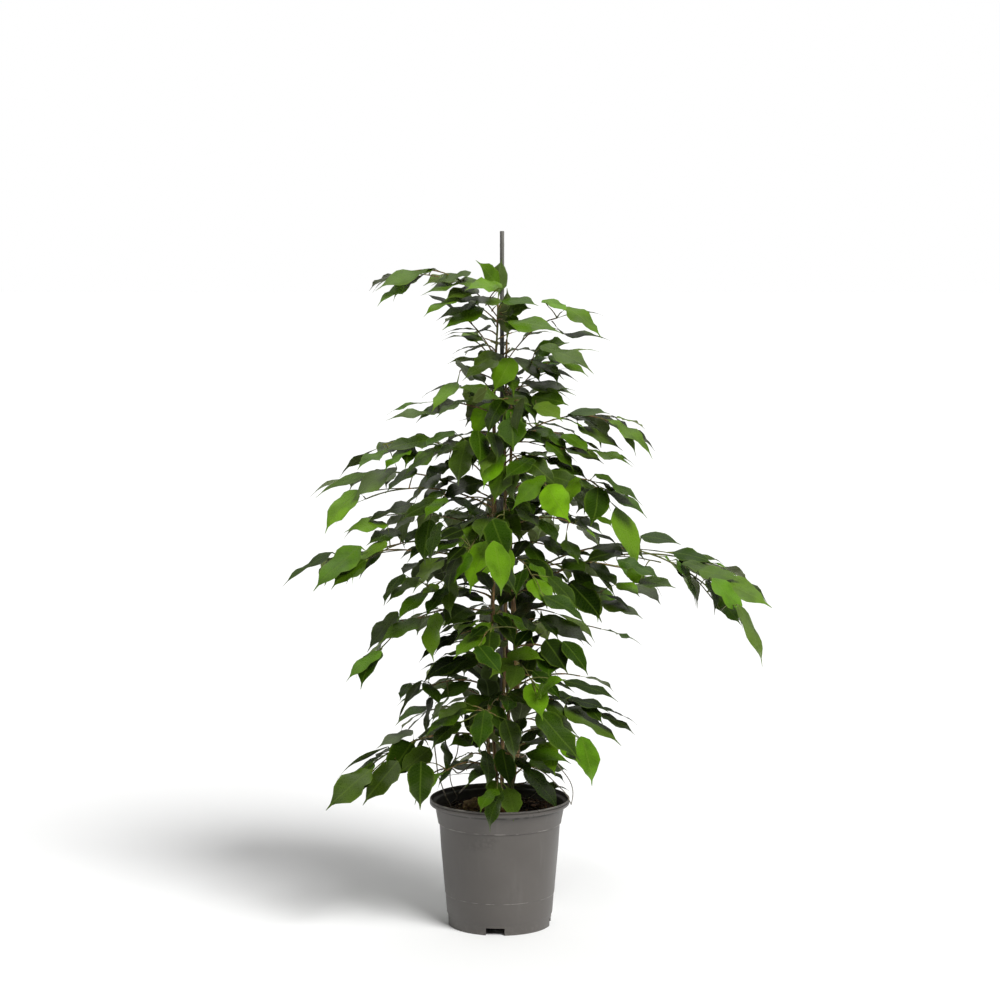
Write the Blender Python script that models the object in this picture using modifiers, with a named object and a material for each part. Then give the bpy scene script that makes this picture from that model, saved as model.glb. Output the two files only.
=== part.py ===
"""A weeping fig in a nursery pot: pot, soil, cane and five leafy stems. Metres, +Z up.

The origin is the middle of the pot's underside, and the plant's best side faces -Y.
"""

import math
import random
from collections import namedtuple

import bmesh
import bpy
from mathutils import Matrix, Vector, noise
from mathutils.bvhtree import BVHTree

MM = 0.001
UP = Vector((0, 0, 1))
CLEARANCE = 0.3 * MM
TURNED_STEPS = 28

# Pot, millimetres (radius, height): the outer side down, the underside to the axis, the inner side up.
POT_HEIGHT = 0.192
RIM_RADIUS = 0.105
FOOT_RADIUS = 0.0774
POT_OUTSIDE = (
    (104.0, 192.0), (105.0, 191.0), (105.0, 184.0), (98.2, 182.6), (97.2, 181.4), (92.4, 156.0),
    (90.7, 155.0), (88.4, 120.0), (83.6, 65.0), (82.2, 48.6), (81.7, 47.8), (79.4, 18.0),
    (77.8, 15.5), (77.4, 0.0),
)
POT_UNDERSIDE = ((73.8, 0.0), (74.0, 12.0), (25.0, 12.0), (23.0, 0.0), (0.0, 0.0))
POT_INSIDE = (
    (0.0, 2.0), (21.2, 2.0), (23.2, 14.0), (74.6, 14.0), (82.0, 65.0), (89.2, 156.0),
    (94.5, 182.2), (95.6, 184.6), (101.6, 185.6), (101.8, 192.0),
)
NOTCHES = 4
NOTCH_BEARING = -95
NOTCH_WIDTH = 0.028
NOTCH_HEIGHT = 0.011
NOTCH_DEPTH = 0.016
DRAIN_HOLES = 8
DRAIN_RADIUS = 0.006
DRAIN_RING = 0.050

# Soil, millimetres (radius, height): the top outwards, then down beside the pot's wall.
SOIL_TOP = 0.173
SOIL_OUTSIDE = (
    (0.0, 173.0), (20.0, 173.0), (40.0, 173.0), (60.0, 173.0), (78.0, 173.0), (91.8, 171.5),
    (88.7, 155.8), (81.5, 65.0), (73.9, 14.4), (22.8, 14.4), (20.8, 2.4), (0.0, 2.4),
)
SOIL_ROUGHNESS = 0.0035
SOIL_GRAIN = 38
SOIL_EVEN_FROM = 0.085

# The cane and the stems round it stand a little to the right of the pot's middle.
MIDDLE = Vector((0.0035, 0, 0))
STAKE_RADIUS = 0.0033
STAKE_TOP = 1.038
STAKE_FOOT = 0.052
STEM_FOOT = 0.105
STEM_RINGS = 9

# Each stem: its bearing round the stake in degrees, the height of its tip, its radius low down and there.
Stem = namedtuple("Stem", "bearing top thick thin")
STEMS = {
    "a": Stem(-20, 0.800, 0.0057, 0.0018),
    "b": Stem(52, 0.855, 0.0039, 0.0018),
    "c": Stem(124, 0.850, 0.0037, 0.0018),
    "d": Stem(196, 0.940, 0.0041, 0.0018),
    "e": Stem(268, 0.880, 0.0037, 0.0018),
}
STEM_GATHER = 0.0125
STEM_SPREAD = 0.023
STEM_FAN = 0.15
STEM_LEAN = 0.012
STEM_TWIST = 35
STEM_SWAY = 0.0030
STEM_WAVES = 9

# Each branch, in millimetres: the height where it leaves its stem, where its last leaf ends, and how
# far it bows up on the way.
BRANCHES = {
    "a": (
        (790, (135, -30, 839), 45), (755, (102, -60, 791), 30), (690, (198, -50, 690), 40),
        (655, (185, -100, 652), 35), (600, (158, -75, 575), 40), (510, (383, -100, 425), 140),
        (495, (393, -20, 494), 90), (500, (204, -80, 485), 30), (420, (131, -100, 388), 30),
        (330, (194, -20, 301), 35), (270, (135, -100, 243), 35), (222, (89, -50, 196), 45),
    ),
    "b": (
        (836, (142, 25, 884), 62), (840, (30, 110, 845), 30), (790, (90, 120, 770), 35),
        (715, (224, 40, 709), 70), (740, (70, 170, 700), 40), (640, (223, 80, 617), 40),
        (640, (60, 220, 600), 45), (600, (150, 190, 550), 45), (520, (244, 100, 500), 40),
        (500, (110, 220, 460), 40), (430, (155, 160, 405), 40), (390, (60, 200, 340), 40),
        (350, (175, 80, 333), 40), (275, (123, 100, 252), 30), (230, (70, 150, 205), 30),
    ),
    "c": (
        (840, (-60, 100, 860), 30), (790, (-99, 60, 778), 30), (770, (-10, 150, 740), 35),
        (700, (-110, 150, 680), 40), (640, (-271, 60, 648), 45), (620, (-40, 210, 570), 45),
        (590, (-228, 100, 587), 35), (540, (-320, 40, 519), 45), (520, (-150, 190, 500), 40),
        (460, (-20, 230, 410), 40), (440, (-193, 80, 418), 40), (370, (-110, 180, 340), 40),
        (310, (-161, 100, 267), 40), (300, (0, 180, 250), 30), (240, (-70, 150, 200), 30),
    ),
    "d": (
        (912, (-180, -20, 940), 72), (905, (-84, 15, 945), 14), (886, (-66, -45, 900), 12),
        (850, (-113, 30, 909), 50), (770, (-160, 20, 766), 25),
        (665, (-227, -40, 675), 85), (630, (-250, -80, 614), 55), (575, (-264, -60, 529), 40),
        (540, (-137, -140, 482), 35), (470, (-218, -50, 384), 60), (360, (-151, -30, 323), 40),
        (285, (-245, -50, 196), 55), (240, (-117, -110, 212), 35),
    ),
    "e": (
        (862, (52, -35, 884), 14), (850, (0, -60, 822), 30), (800, (25, -105, 735), 35),
        (745, (-20, -135, 680), 40),
        (705, (45, -155, 652), 40), (670, (92, -160, 636), 40), (640, (5, -185, 590), 45),
        (600, (-60, -195, 545), 45), (545, (60, -200, 510), 45), (470, (-20, -200, 430), 45),
        (400, (60, -175, 350), 45), (340, (-32, -160, 300), 40), (290, (87, -140, 295), 45),
        (262, (48, -88, 226), 22), (248, (-42, -82, 214), 22), (232, (-10, -105, 190), 30),
    ),
}
ARCH_SHARES = (0.33, 0.74)
ARCH_STEPS = 24
BRANCH_RADII = (0.0027, 0.0017)
BRANCH_SHARE = 0.85
BRANCH_STEP = 0.068
SWINGS = (0, 4, -4, 8, -8, 12, -12, 16, -16, 20, -20, 25, -25)

# Short shoots all round the stems, between the branches.
SHOOTS = 28
SHOOT_HEIGHTS = (0.30, 0.87)
SHOOT_REACH = (0.115, 0.155)
SHOOT_SHORTER_ABOVE = 0.75
SHOOT_RISE = 0.025
SHOOT_DROP = 0.045
SHOOT_RADII = (0.0023, 0.0017)
SHOOT_SWINGS = (0, 15, -15, 30, -30, 45, -45)
GOLDEN_ANGLE = 137.5

# Side twigs of the branches longer than FORK_FROM, and two on those longer than FORK_TWICE.
FORK_FROM = 0.21
FORK_TWICE = 0.30
FORK_PLACES = ((0.5,), (0.42, 0.66))
FORK_REACH = (0.125, 0.150)
FORK_ALONG = 0.78
FORK_ASIDE = 0.62
FORK_DROP = 0.025
FORK_RISE = 0.010
FORK_RADII = (0.0012, 0.0016)

# The bare wood at the foot of a branch and of a side twig, and the step between leaves along them.
BARE_BRANCH = 0.055
BARE_FORK = 0.020
LEAF_GAP = 0.042
LEAF_LENGTH = 0.067
LEAF_WIDTH = (0.50, 0.60)
STALK = 0.013
STALK_HALF = 0.0007
STALK_ROOM = (0.012, 0.003)
BLADE = 0.0009
SHOULDER, BELLY, NECK = (0.13, 0.70), (0.42, 1.0), (0.80, 0.36)
# How far a blade may be rolled at random, and the turns tried in order until it crosses nothing.
LEAF_ROLLS = (0.12, 0.16, 0.50)
LEAF_SPREADS = (0, 0.3, -0.3, 0.55, -0.55, 0.8)
LEAF_DROPS = (0, 0.25, -0.25, 0.55)
LEAF_TILTS = (0, 0.35, -0.35)
LEAF_TRIES = len(LEAF_SPREADS) * len(LEAF_DROPS)
LEAF_CLEARANCE = 0.0009

Leaf = namedtuple("Leaf", "root base turn length width curl fold age")
Twig = namedtuple("Twig", "owner line wood thick thin")


# How the plant grows: where the wood runs and how each leaf lies.


def on_circle(radius, degrees, z=0.0):
    turn = math.radians(degrees)
    return Vector((radius * math.cos(turn), radius * math.sin(turn), z))


def stem_point(stem, z):
    """The middle of a stem at height z. It fans out of the soil, then leans in and turns as it climbs."""
    climb = max(0.0, (z - SOIL_TOP) / (stem.top - SOIL_TOP))
    out = STEM_GATHER + (STEM_SPREAD - STEM_GATHER) * min(1.0, climb / STEM_FAN) - STEM_LEAN * climb
    out += STEM_SWAY * math.sin(STEM_WAVES * climb + stem.bearing)
    return MIDDLE + on_circle(out, stem.bearing + STEM_TWIST * climb, z)


def stem_radius(stem, z):
    """A stem's radius at height z. It tapers evenly from its foot to its tip."""
    return stem.thick + (stem.thin - stem.thick) * (z - STEM_FOOT) / (stem.top - STEM_FOOT)


def stem_line(stem, low):
    last = STEM_RINGS - 1
    return [stem_point(stem, low + (stem.top - low) * i / last) for i in range(STEM_RINGS)]


def arch(start, end, rise):
    """A branch's line: it leaves upwards, bows over and hangs at its end."""
    one, two = (start.lerp(end, share) + UP * rise for share in ARCH_SHARES)
    points = []
    for i in range(ARCH_STEPS + 1):
        t = i / ARCH_STEPS
        s = 1 - t
        points.append(s**3 * start + 3 * s * s * t * one + 3 * s * t * t * two + t**3 * end)
    return points


def length_of(points):
    return sum((b - a).length for a, b in zip(points, points[1:]))


def along(points, distance):
    """The point at a distance along a line, and the way the line runs there."""
    for a, b in zip(points, points[1:]):
        step = (b - a).length
        if distance <= step:
            return a.lerp(b, distance / step), (b - a).normalized()
        distance -= step
    return points[-1].copy(), (points[-1] - points[-2]).normalized()


def on_twig(twig, distance):
    """A point in a twig's wood, and the way its smooth line runs there."""
    return along(twig.wood, distance)[0], along(twig.line, distance)[1]


def leaf_turn(heading, roll):
    """Axes of a blade: its length along heading, its upper face to the sky, then rolled."""
    x = heading.normalized()
    y = UP.cross(x)
    if y.length < 0.15:
        y = Vector((0, 1, 0)).cross(x)
    y.normalize()
    return Matrix((x, y, x.cross(y))).transposed() @ Matrix.Rotation(roll, 3, "X")


def blade_point(leaf, u, v, lift=0.0):
    """A point of a blade: u from stalk to tip, v across, lift above its upper face."""
    bend = leaf.curl * u
    spine = Vector((math.sin(bend), 0, math.cos(bend) - 1)) * (leaf.length / leaf.curl)
    normal = Vector((math.sin(bend), 0, math.cos(bend)))
    side = v * leaf.width / 2
    local = spine + Vector((0, side, 0)) + normal * (leaf.fold * abs(side) + lift)
    return leaf.base + leaf.turn @ local


def leaf_shape(leaf, pad=0.0):
    """Corners and faces of a leaf with few sides: a three-sided stalk and a folded, arched blade."""
    top, low = pad, -BLADE - pad
    edge = (top + low) / 2
    side = leaf.turn @ Vector((0, STALK_HALF + pad, 0))
    down = leaf.turn @ Vector((0, 0, low - 0.2 * MM))
    lift = leaf.turn @ Vector((0, 0, 0.25 * MM + pad))
    corners = [leaf.root + side * 0.6 + lift, leaf.root - side * 0.6 + lift, leaf.root + down * 0.45]
    corners += [leaf.base + side, leaf.base - side, leaf.base + down]
    middle, under, tip = 14, 15, 16
    faces = [(0, 2, 1), (0, 1, 4, 3), (1, 2, 5, 4), (2, 0, 3, 5), (3, 4, middle)]
    for sign, start, n in ((1, 3, 6), (-1, 4, 10)):
        corners.append(blade_point(leaf, SHOULDER[0], sign * SHOULDER[1], edge))
        corners.append(blade_point(leaf, BELLY[0], sign * BELLY[1], top))
        corners.append(blade_point(leaf, BELLY[0], sign * BELLY[1], low))
        corners.append(blade_point(leaf, NECK[0], sign * NECK[1], edge))
        half = [(start, middle, n), (n, middle, n + 1), (n + 1, middle, n + 3), (n + 3, middle, tip)]
        half += [(5, n, under), (n, n + 2, under), (n + 2, n + 3, under), (n + 3, tip, under)]
        half += [(start, n, 5), (n, n + 1, n + 2), (n + 1, n + 3, n + 2)]
        faces += half if sign > 0 else [face[::-1] for face in half]
    corners += [blade_point(leaf, BELLY[0], 0, top), blade_point(leaf, BELLY[0], 0, low)]
    corners.append(blade_point(leaf, 1.0, 0, edge))
    return corners, faces


def tube_shape(points, thick, thin, sides=3):
    """A closed tapering tube along a line."""
    corners, faces = [], []
    side = UP.cross(points[1] - points[0])
    if side.length < 1e-6:
        side = Vector((1, 0, 0))
    last = len(points) - 1
    for i, point in enumerate(points):
        way = (points[min(i + 1, last)] - points[max(i - 1, 0)]).normalized()
        side = (side - way * side.dot(way)).normalized()
        radius = thick + (thin - thick) * i / last
        for k in range(sides):
            turn = 2 * math.pi * k / sides
            corners.append(point + radius * (side * math.cos(turn) + way.cross(side) * math.sin(turn)))
    for i in range(last):
        for k in range(sides):
            a, b = i * sides + k, i * sides + (k + 1) % sides
            faces.append((a, b, b + sides, a + sides))
    faces.append(tuple(range(sides))[::-1])
    faces.append(tuple(range(last * sides, (last + 1) * sides)))
    return corners, faces


class Crown:
    """What stands already, so that nothing new crosses it."""

    def __init__(self):
        self.standing = []

    def ball(self, corners):
        middle = sum(corners, Vector()) / len(corners)
        return middle, max((corner - middle).length for corner in corners)

    def add(self, owner, shape):
        self.standing.append((owner, *self.ball(shape[0]), BVHTree.FromPolygons(*shape)))

    def free(self, shape, skip):
        middle, reach = self.ball(shape[0])
        tree = BVHTree.FromPolygons(*shape)
        for owner, other, far, standing in self.standing:
            if skip(owner) or (middle - other).length > reach + far:
                continue
            if tree.overlap(standing):
                return False
        return True


def add_pot_and_stake(crown):
    """Plain stand-ins of the pot, the soil and the stake, a little larger than they are."""
    sides = 24
    rings = (
        (FOOT_RADIUS + 0.003, 0), (RIM_RADIUS + 0.003, POT_HEIGHT + 0.002),
        (RIM_RADIUS - 0.012, POT_HEIGHT + 0.002), (RIM_RADIUS - 0.014, SOIL_TOP + 0.006),
    )
    corners = [on_circle(radius, 360 / sides * i, z) for radius, z in rings for i in range(sides)]
    faces = []
    for low in (0, sides, 2 * sides):
        for i in range(sides):
            a, b = low + i, low + (i + 1) % sides
            faces.append((a, b, b + sides, a + sides))
    faces.append(tuple(range(3 * sides, 4 * sides)))
    crown.add("pot", (corners, faces))
    ends = [MIDDLE + UP * SOIL_TOP, MIDDLE + UP * STAKE_TOP]
    crown.add("stake", tube_shape(ends, STAKE_RADIUS + 0.001, STAKE_RADIUS + 0.001, 8))


def place_twig(crown, owner, start, tip, rise, radii, swings):
    """A twig, swung round the stake by the first angle at which its wood crosses nothing, or None."""
    thick, thin = radii
    if "f" not in owner:
        thick = min(thick, BRANCH_SHARE * stem_radius(STEMS[owner[0]], start.z))
    for swing in swings:
        line = arch(start, Matrix.Rotation(math.radians(swing), 3, "Z") @ tip, rise)
        whole = length_of(line) - LEAF_LENGTH
        count = max(2, round(whole / BRANCH_STEP))
        wood = [along(line, whole * i / count)[0] for i in range(count + 1)]
        shape = tube_shape(wood, thick + LEAF_CLEARANCE, thin + LEAF_CLEARANCE)
        if crown.free(shape, lambda other: other.startswith(owner[:2])):
            crown.add(owner, shape)
            return Twig(owner, line, wood, thick, thin)
    return None


def grow_branches(crown):
    twigs = []
    for name, rows in BRANCHES.items():
        for i, (z, tip, rise) in enumerate(rows):
            start = stem_point(STEMS[name], z * MM)
            owner, end = f"{name}.b{i}", Vector(tip) * MM
            twigs.append(place_twig(crown, owner, start, end, rise * MM, BRANCH_RADII, SWINGS))
    return [twig for twig in twigs if twig]


def nearest_stem(bearing, z):
    """The name of the stem that stands nearest to a bearing at height z."""
    way = on_circle(1, bearing)
    standing = [name for name in STEMS if STEMS[name].top > z + 0.02]
    return max(standing, key=lambda name: stem_point(STEMS[name], z).xy.normalized().dot(way.xy))


def grow_shoots(crown):
    twigs = []
    draw = random.Random(7)
    low, high = SHOOT_HEIGHTS
    for i in range(SHOOTS):
        z = low + (high - low) * (i + 0.5) / SHOOTS
        bearing = i * GOLDEN_ANGLE
        reach = draw.uniform(*SHOOT_REACH) * (1.0 if z < SHOOT_SHORTER_ABOVE else 0.8)
        tip = on_circle(reach, bearing, z - draw.uniform(0.0, SHOOT_DROP))
        name = nearest_stem(bearing, z)
        start = stem_point(STEMS[name], z)
        twigs.append(place_twig(crown, f"{name}.s{i}", start, tip, SHOOT_RISE, SHOOT_RADII, SHOOT_SWINGS))
    return [twig for twig in twigs if twig]


def grow_forks(crown, branches):
    """One or two side twigs on each long branch, to whichever side is free."""
    twigs = []
    for branch in branches:
        whole = length_of(branch.line)
        shares = FORK_PLACES[1] if whole > FORK_TWICE else FORK_PLACES[0]
        for k, share in enumerate(shares if whole > FORK_FROM else ()):
            start, way = on_twig(branch, whole * share)
            draw = random.Random(branch.owner + str(k))
            first = 1 if (k + ord(branch.owner[-1])) % 2 else -1
            for side in (first, -first):
                out = way * FORK_ALONG + UP.cross(way).normalized() * side * FORK_ASIDE
                drop = UP * (FORK_DROP + 2 * FORK_DROP * max(0.0, way.z))
                tip = start + out.normalized() * draw.uniform(*FORK_REACH) - drop
                fork = place_twig(crown, f"{branch.owner}f{k}", start, tip, FORK_RISE, FORK_RADII, (0,))
                if fork:
                    twigs.append(fork)
                    break
    return twigs


def place_leaf(crown, draw, twig, distance, side, size):
    """A leaf on one side of a twig, or at its end, turned until it crosses nothing, or None."""
    root, way = on_twig(twig, distance)
    lateral = UP.cross(way).normalized() * side
    length = size * LEAF_LENGTH * draw.uniform(0.76, 1.16)
    width = length * draw.uniform(*LEAF_WIDTH)
    swing, roll = draw.uniform(-0.2, 0.2), draw.choice(LEAF_ROLLS) * draw.uniform(-1, 1)
    sag = draw.uniform(0.05, 0.55) + 0.15 * abs(way.y)
    curl, fold, age = draw.uniform(0.15, 0.70), draw.uniform(0.05, 0.28), draw.random()
    for k in range(LEAF_TRIES):
        spread = LEAF_SPREADS[k % len(LEAF_SPREADS)]
        drop = LEAF_DROPS[k // len(LEAF_SPREADS)]
        tilt = LEAF_TILTS[k % len(LEAF_TILTS)]
        if side:
            stalk = way * 0.8 + lateral * (0.6 + 0.4 * spread) + UP * 0.12
            heading = way * 0.80 + lateral * (0.31 + swing + spread) - UP * (sag + drop)
        else:
            stalk = way
            heading = way + Vector((way.y, -way.x, 0)) * 0.8 * (swing + spread) - UP * drop
        base = root + stalk.normalized() * STALK * size
        leaf = Leaf(root, base, leaf_turn(heading, roll + tilt), length, width, curl, fold, age)
        shape = leaf_shape(leaf, LEAF_CLEARANCE)
        blade = leaf_shape(leaf._replace(root=base.lerp(root, 0.3)))
        clear_of_rest = crown.free(shape, lambda other: other == twig.owner)
        if clear_of_rest and crown.free(blade, lambda other: False):
            crown.add("leaf", shape)
            return leaf
    return None


def grow_leaves(crown, twigs, first):
    """Leaves along each twig by turns left and right, from its end inwards."""
    leaves = {name: [] for name in STEMS}
    for twig in twigs:
        draw = random.Random(twig.owner + str(first))
        whole = length_of(twig.line) - LEAF_LENGTH
        bare = BARE_FORK if "f" in twig.owner else BARE_BRANCH
        count = int((whole - bare - first) / LEAF_GAP) + 1
        if not first:
            count = max(2, count)
        for i in range(count):
            distance = whole - STALK_ROOM[1] - first - i * LEAF_GAP
            if distance < STALK_ROOM[0]:
                break
            side = 0 if i == 0 and not first else (1 if (i + len(twig.owner)) % 2 else -1)
            leaf = place_leaf(crown, draw, twig, distance, side, 0.92 + 0.2 * min(1, i / 3))
            if leaf:
                leaves[twig.owner[0]].append(leaf)
    return leaves


def leaders():
    """The tips of the stems themselves, which carry leaves like a twig."""
    found = []
    for name, stem in STEMS.items():
        wood = stem_line(stem, SOIL_TOP)
        end = wood[-1] + (wood[-1] - wood[-2]).normalized() * LEAF_LENGTH
        found.append(Twig(name + ".stem", wood + [end], wood, stem.thick, stem.thin))
    return found


def grow():
    """The twigs, and the leaves of each stem."""
    crown = Crown()
    add_pot_and_stake(crown)
    for name, stem in STEMS.items():
        line = stem_line(stem, SOIL_TOP)
        shape = tube_shape(line, stem.thick + LEAF_CLEARANCE, stem.thin + LEAF_CLEARANCE, 6)
        crown.add(name + ".stem", shape)
    branches = grow_branches(crown)
    twigs = branches + grow_shoots(crown)
    twigs += grow_forks(crown, twigs)
    return twigs, grow_leaves(crown, twigs + leaders(), 0)


# Building the solids.


def clear_scene():
    for obj in list(bpy.data.objects):
        bpy.data.objects.remove(obj)


def new_collection(name, hidden=False):
    found = bpy.data.collections.new(name)
    bpy.context.scene.collection.children.link(found)
    found.hide_render = hidden
    return found


def material(name, colour, roughness):
    found = bpy.data.materials.new(name)
    found.use_nodes = True
    shader = found.node_tree.nodes["Principled BSDF"]
    shader.inputs["Base Color"].default_value = (*colour, 1)
    shader.inputs["Roughness"].default_value = roughness
    return found


def new_object(name, data, home):
    obj = bpy.data.objects.new(name, data)
    home.objects.link(obj)
    return obj


def mesh_object(name, shape, home):
    mesh = bpy.data.meshes.new(name)
    mesh.from_pydata([tuple(corner) for corner in shape[0]], [], shape[1])
    return new_object(name, mesh, home)


def apply_modifiers(obj):
    """Keep the evaluated mesh as the object's own."""
    bpy.context.view_layer.update()
    graph = bpy.context.evaluated_depsgraph_get()
    mesh = bpy.data.meshes.new_from_object(obj.evaluated_get(graph))
    obj.modifiers.clear()
    obj.data = mesh


def turned(name, profile, home):
    """A solid of revolution from a closed or axis-to-axis profile in millimetres."""
    mesh = bpy.data.meshes.new(name)
    points = [(radius * MM, 0, z * MM) for radius, z in profile]
    ends = list(zip(range(len(points) - 1), range(1, len(points))))
    if profile[0][0] > 0:
        ends.append((len(points) - 1, 0))
    mesh.from_pydata(points, ends, [])
    obj = new_object(name, mesh, home)
    screw = obj.modifiers.new("turn", "SCREW")
    screw.steps = screw.render_steps = TURNED_STEPS
    screw.use_merge_vertices = True
    screw.merge_threshold = 0.00005
    screw.use_smooth_shade = False
    apply_modifiers(obj)
    return obj


def cut(obj, cutters):
    """Take each cutter away from the object."""
    for cutter in cutters:
        boolean = obj.modifiers.new(cutter.name, "BOOLEAN")
        boolean.operation = "DIFFERENCE"
        boolean.solver = "EXACT"
        boolean.object = cutter
    apply_modifiers(obj)


def move_to(obj, home):
    for old in list(obj.users_collection):
        old.objects.unlink(obj)
    home.objects.link(obj)
    obj.display_type = "WIRE"
    obj.hide_render = True


def notch_cutter(bearing, home):
    place = on_circle(FOOT_RADIUS, bearing)
    bpy.ops.mesh.primitive_cube_add(size=1, location=place, rotation=(0, 0, math.radians(bearing)))
    cutter = bpy.context.object
    cutter.name = "notch_cutter"
    cutter.scale = (NOTCH_DEPTH, NOTCH_WIDTH, 2 * NOTCH_HEIGHT)
    move_to(cutter, home)
    return cutter


def drain_cutter(bearing, home):
    place = on_circle(DRAIN_RING, bearing, 0.013)
    bpy.ops.mesh.primitive_cylinder_add(vertices=8, radius=DRAIN_RADIUS, depth=0.010, location=place)
    cutter = bpy.context.object
    cutter.name = "drain_cutter"
    move_to(cutter, home)
    return cutter


def build_pot(home, cutters):
    pot = turned("pot", POT_OUTSIDE + POT_UNDERSIDE + POT_INSIDE, home)
    tools = [notch_cutter(NOTCH_BEARING + 360 / NOTCHES * i, cutters) for i in range(NOTCHES)]
    tools += [drain_cutter(360 / DRAIN_HOLES * (i + 0.5), cutters) for i in range(DRAIN_HOLES)]
    cut(pot, tools)
    pot.data.materials.append(material("pot_plastic", (0.136, 0.122, 0.112), 0.5))
    return pot


def build_stake(home):
    depth = STAKE_TOP - STAKE_FOOT
    place = MIDDLE + UP * (STAKE_FOOT + depth / 2)
    bpy.ops.mesh.primitive_cylinder_add(vertices=8, radius=STAKE_RADIUS, depth=depth, location=place)
    stake = bpy.context.object
    stake.name = "stake"
    for old in list(stake.users_collection):
        old.objects.unlink(stake)
    home.objects.link(stake)
    stake.data.materials.append(material("cane", (0.16, 0.155, 0.14), 0.7))
    return stake


def stem_solid(name, stem, home, extra=0.0):
    """A stem as a tapering curve, or its hole's cutter when it is made a little larger."""
    curve = bpy.data.curves.new(name, "CURVE")
    curve.dimensions = "3D"
    curve.bevel_depth = 1.0
    curve.bevel_resolution = 1
    curve.use_fill_caps = True
    line = stem_line(stem, STEM_FOOT - extra)
    last = len(line) - 1
    spline = curve.splines.new("POLY")
    spline.points.add(last)
    for i, point in enumerate(line):
        spline.points[i].co = (*point, 1)
        spline.points[i].radius = stem.thick + (stem.thin - stem.thick) * i / last + extra
    obj = new_object(name, curve, home)
    mesh = bpy.data.meshes.new_from_object(obj)
    bpy.data.objects.remove(obj)
    solid = new_object(name, mesh, home)
    weld = bmesh.new()
    weld.from_mesh(mesh)
    bmesh.ops.remove_doubles(weld, verts=weld.verts, dist=1e-6)
    bmesh.ops.recalc_face_normals(weld, faces=weld.faces)
    weld.to_mesh(mesh)
    weld.free()
    return solid


def build_soil(home, cutters):
    """The lumpy soil, with a plain hole for the cane and for each stem."""
    soil = turned("soil", SOIL_OUTSIDE, home)
    for vertex in soil.data.vertices:
        if vertex.co.z > SOIL_TOP - MM:
            fade = 1.0 if vertex.co.xy.length < SOIL_EVEN_FROM else 0.3
            vertex.co.z += SOIL_ROUGHNESS * fade * noise.noise(vertex.co * SOIL_GRAIN)
    depth = SOIL_TOP + 0.05 - STAKE_FOOT
    place = MIDDLE + UP * (STAKE_FOOT - CLEARANCE + depth / 2)
    bpy.ops.mesh.primitive_cylinder_add(
        vertices=8, radius=STAKE_RADIUS + 1.2 * CLEARANCE, depth=depth, location=place
    )
    hole = bpy.context.object
    hole.name = "stake_hole"
    move_to(hole, cutters)
    tools = [hole]
    for name, stem in STEMS.items():
        tool = stem_solid(f"stem_{name}_hole", stem, cutters, 1.4 * CLEARANCE)
        tool.display_type = "WIRE"
        tool.hide_render = True
        tools.append(tool)
    cut(soil, tools)
    soil.data.materials.append(material("soil", (0.030, 0.017, 0.010), 0.95))
    return soil


def keep_largest(obj):
    """Drop what isn't joined to the largest body: loose scraps and the walls of sealed hollows."""
    mesh = bmesh.new()
    mesh.from_mesh(obj.data)
    left = set(mesh.verts)
    bodies = []
    while left:
        body, queue = set(), [left.pop()]
        while queue:
            vertex = queue.pop()
            body.add(vertex)
            for edge in vertex.link_edges:
                other = edge.other_vert(vertex)
                if other in left:
                    left.remove(other)
                    queue.append(other)
        bodies.append(body)
    bodies.sort(key=len)
    dropped = [vertex for body in bodies[:-1] for vertex in body]
    bmesh.ops.delete(mesh, geom=dropped, context="VERTS")
    mesh.to_mesh(obj.data)
    mesh.free()


def build_leafy_stem(name, twigs, leaves, home, foliage):
    """A stem with its twigs and leaves as one body."""
    stem = stem_solid("leafy_stem_" + name, STEMS[name], home)
    heap = new_collection("pieces_of_" + name)
    shapes = [tube_shape(twig.wood, twig.thick, twig.thin) for twig in twigs if twig.owner[0] == name]
    shapes += [leaf_shape(leaf) for leaf in leaves[name]]
    for i, shape in enumerate(shapes):
        mesh_object(f"piece_{name}_{i}", shape, heap)
    join = stem.modifiers.new("join", "BOOLEAN")
    join.operation = "UNION"
    join.operand_type = "COLLECTION"
    join.collection = heap
    join.solver = "MANIFOLD"
    apply_modifiers(stem)
    for obj in list(heap.objects):
        mesh = obj.data
        bpy.data.objects.remove(obj)
        bpy.data.meshes.remove(mesh)
    bpy.data.collections.remove(heap)
    keep_largest(stem)
    stem.data.materials.clear()
    stem.data.materials.append(foliage)
    return stem


clear_scene()
plant = new_collection("potted_weeping_fig")
cutters = new_collection("cutters", hidden=True)
build_pot(plant, cutters)
build_soil(plant, cutters)
build_stake(plant)
twigs, leaves = grow()
foliage = material("fig_leaf", (0.035, 0.090, 0.016), 0.4)
for name in STEMS:
    build_leafy_stem(name, twigs, leaves, plant, foliage)
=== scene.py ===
import math
import random
from collections import namedtuple

import bpy
import numpy as np
from mathutils import Euler, Matrix, Vector, noise
from mathutils.bvhtree import BVHTree


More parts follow.
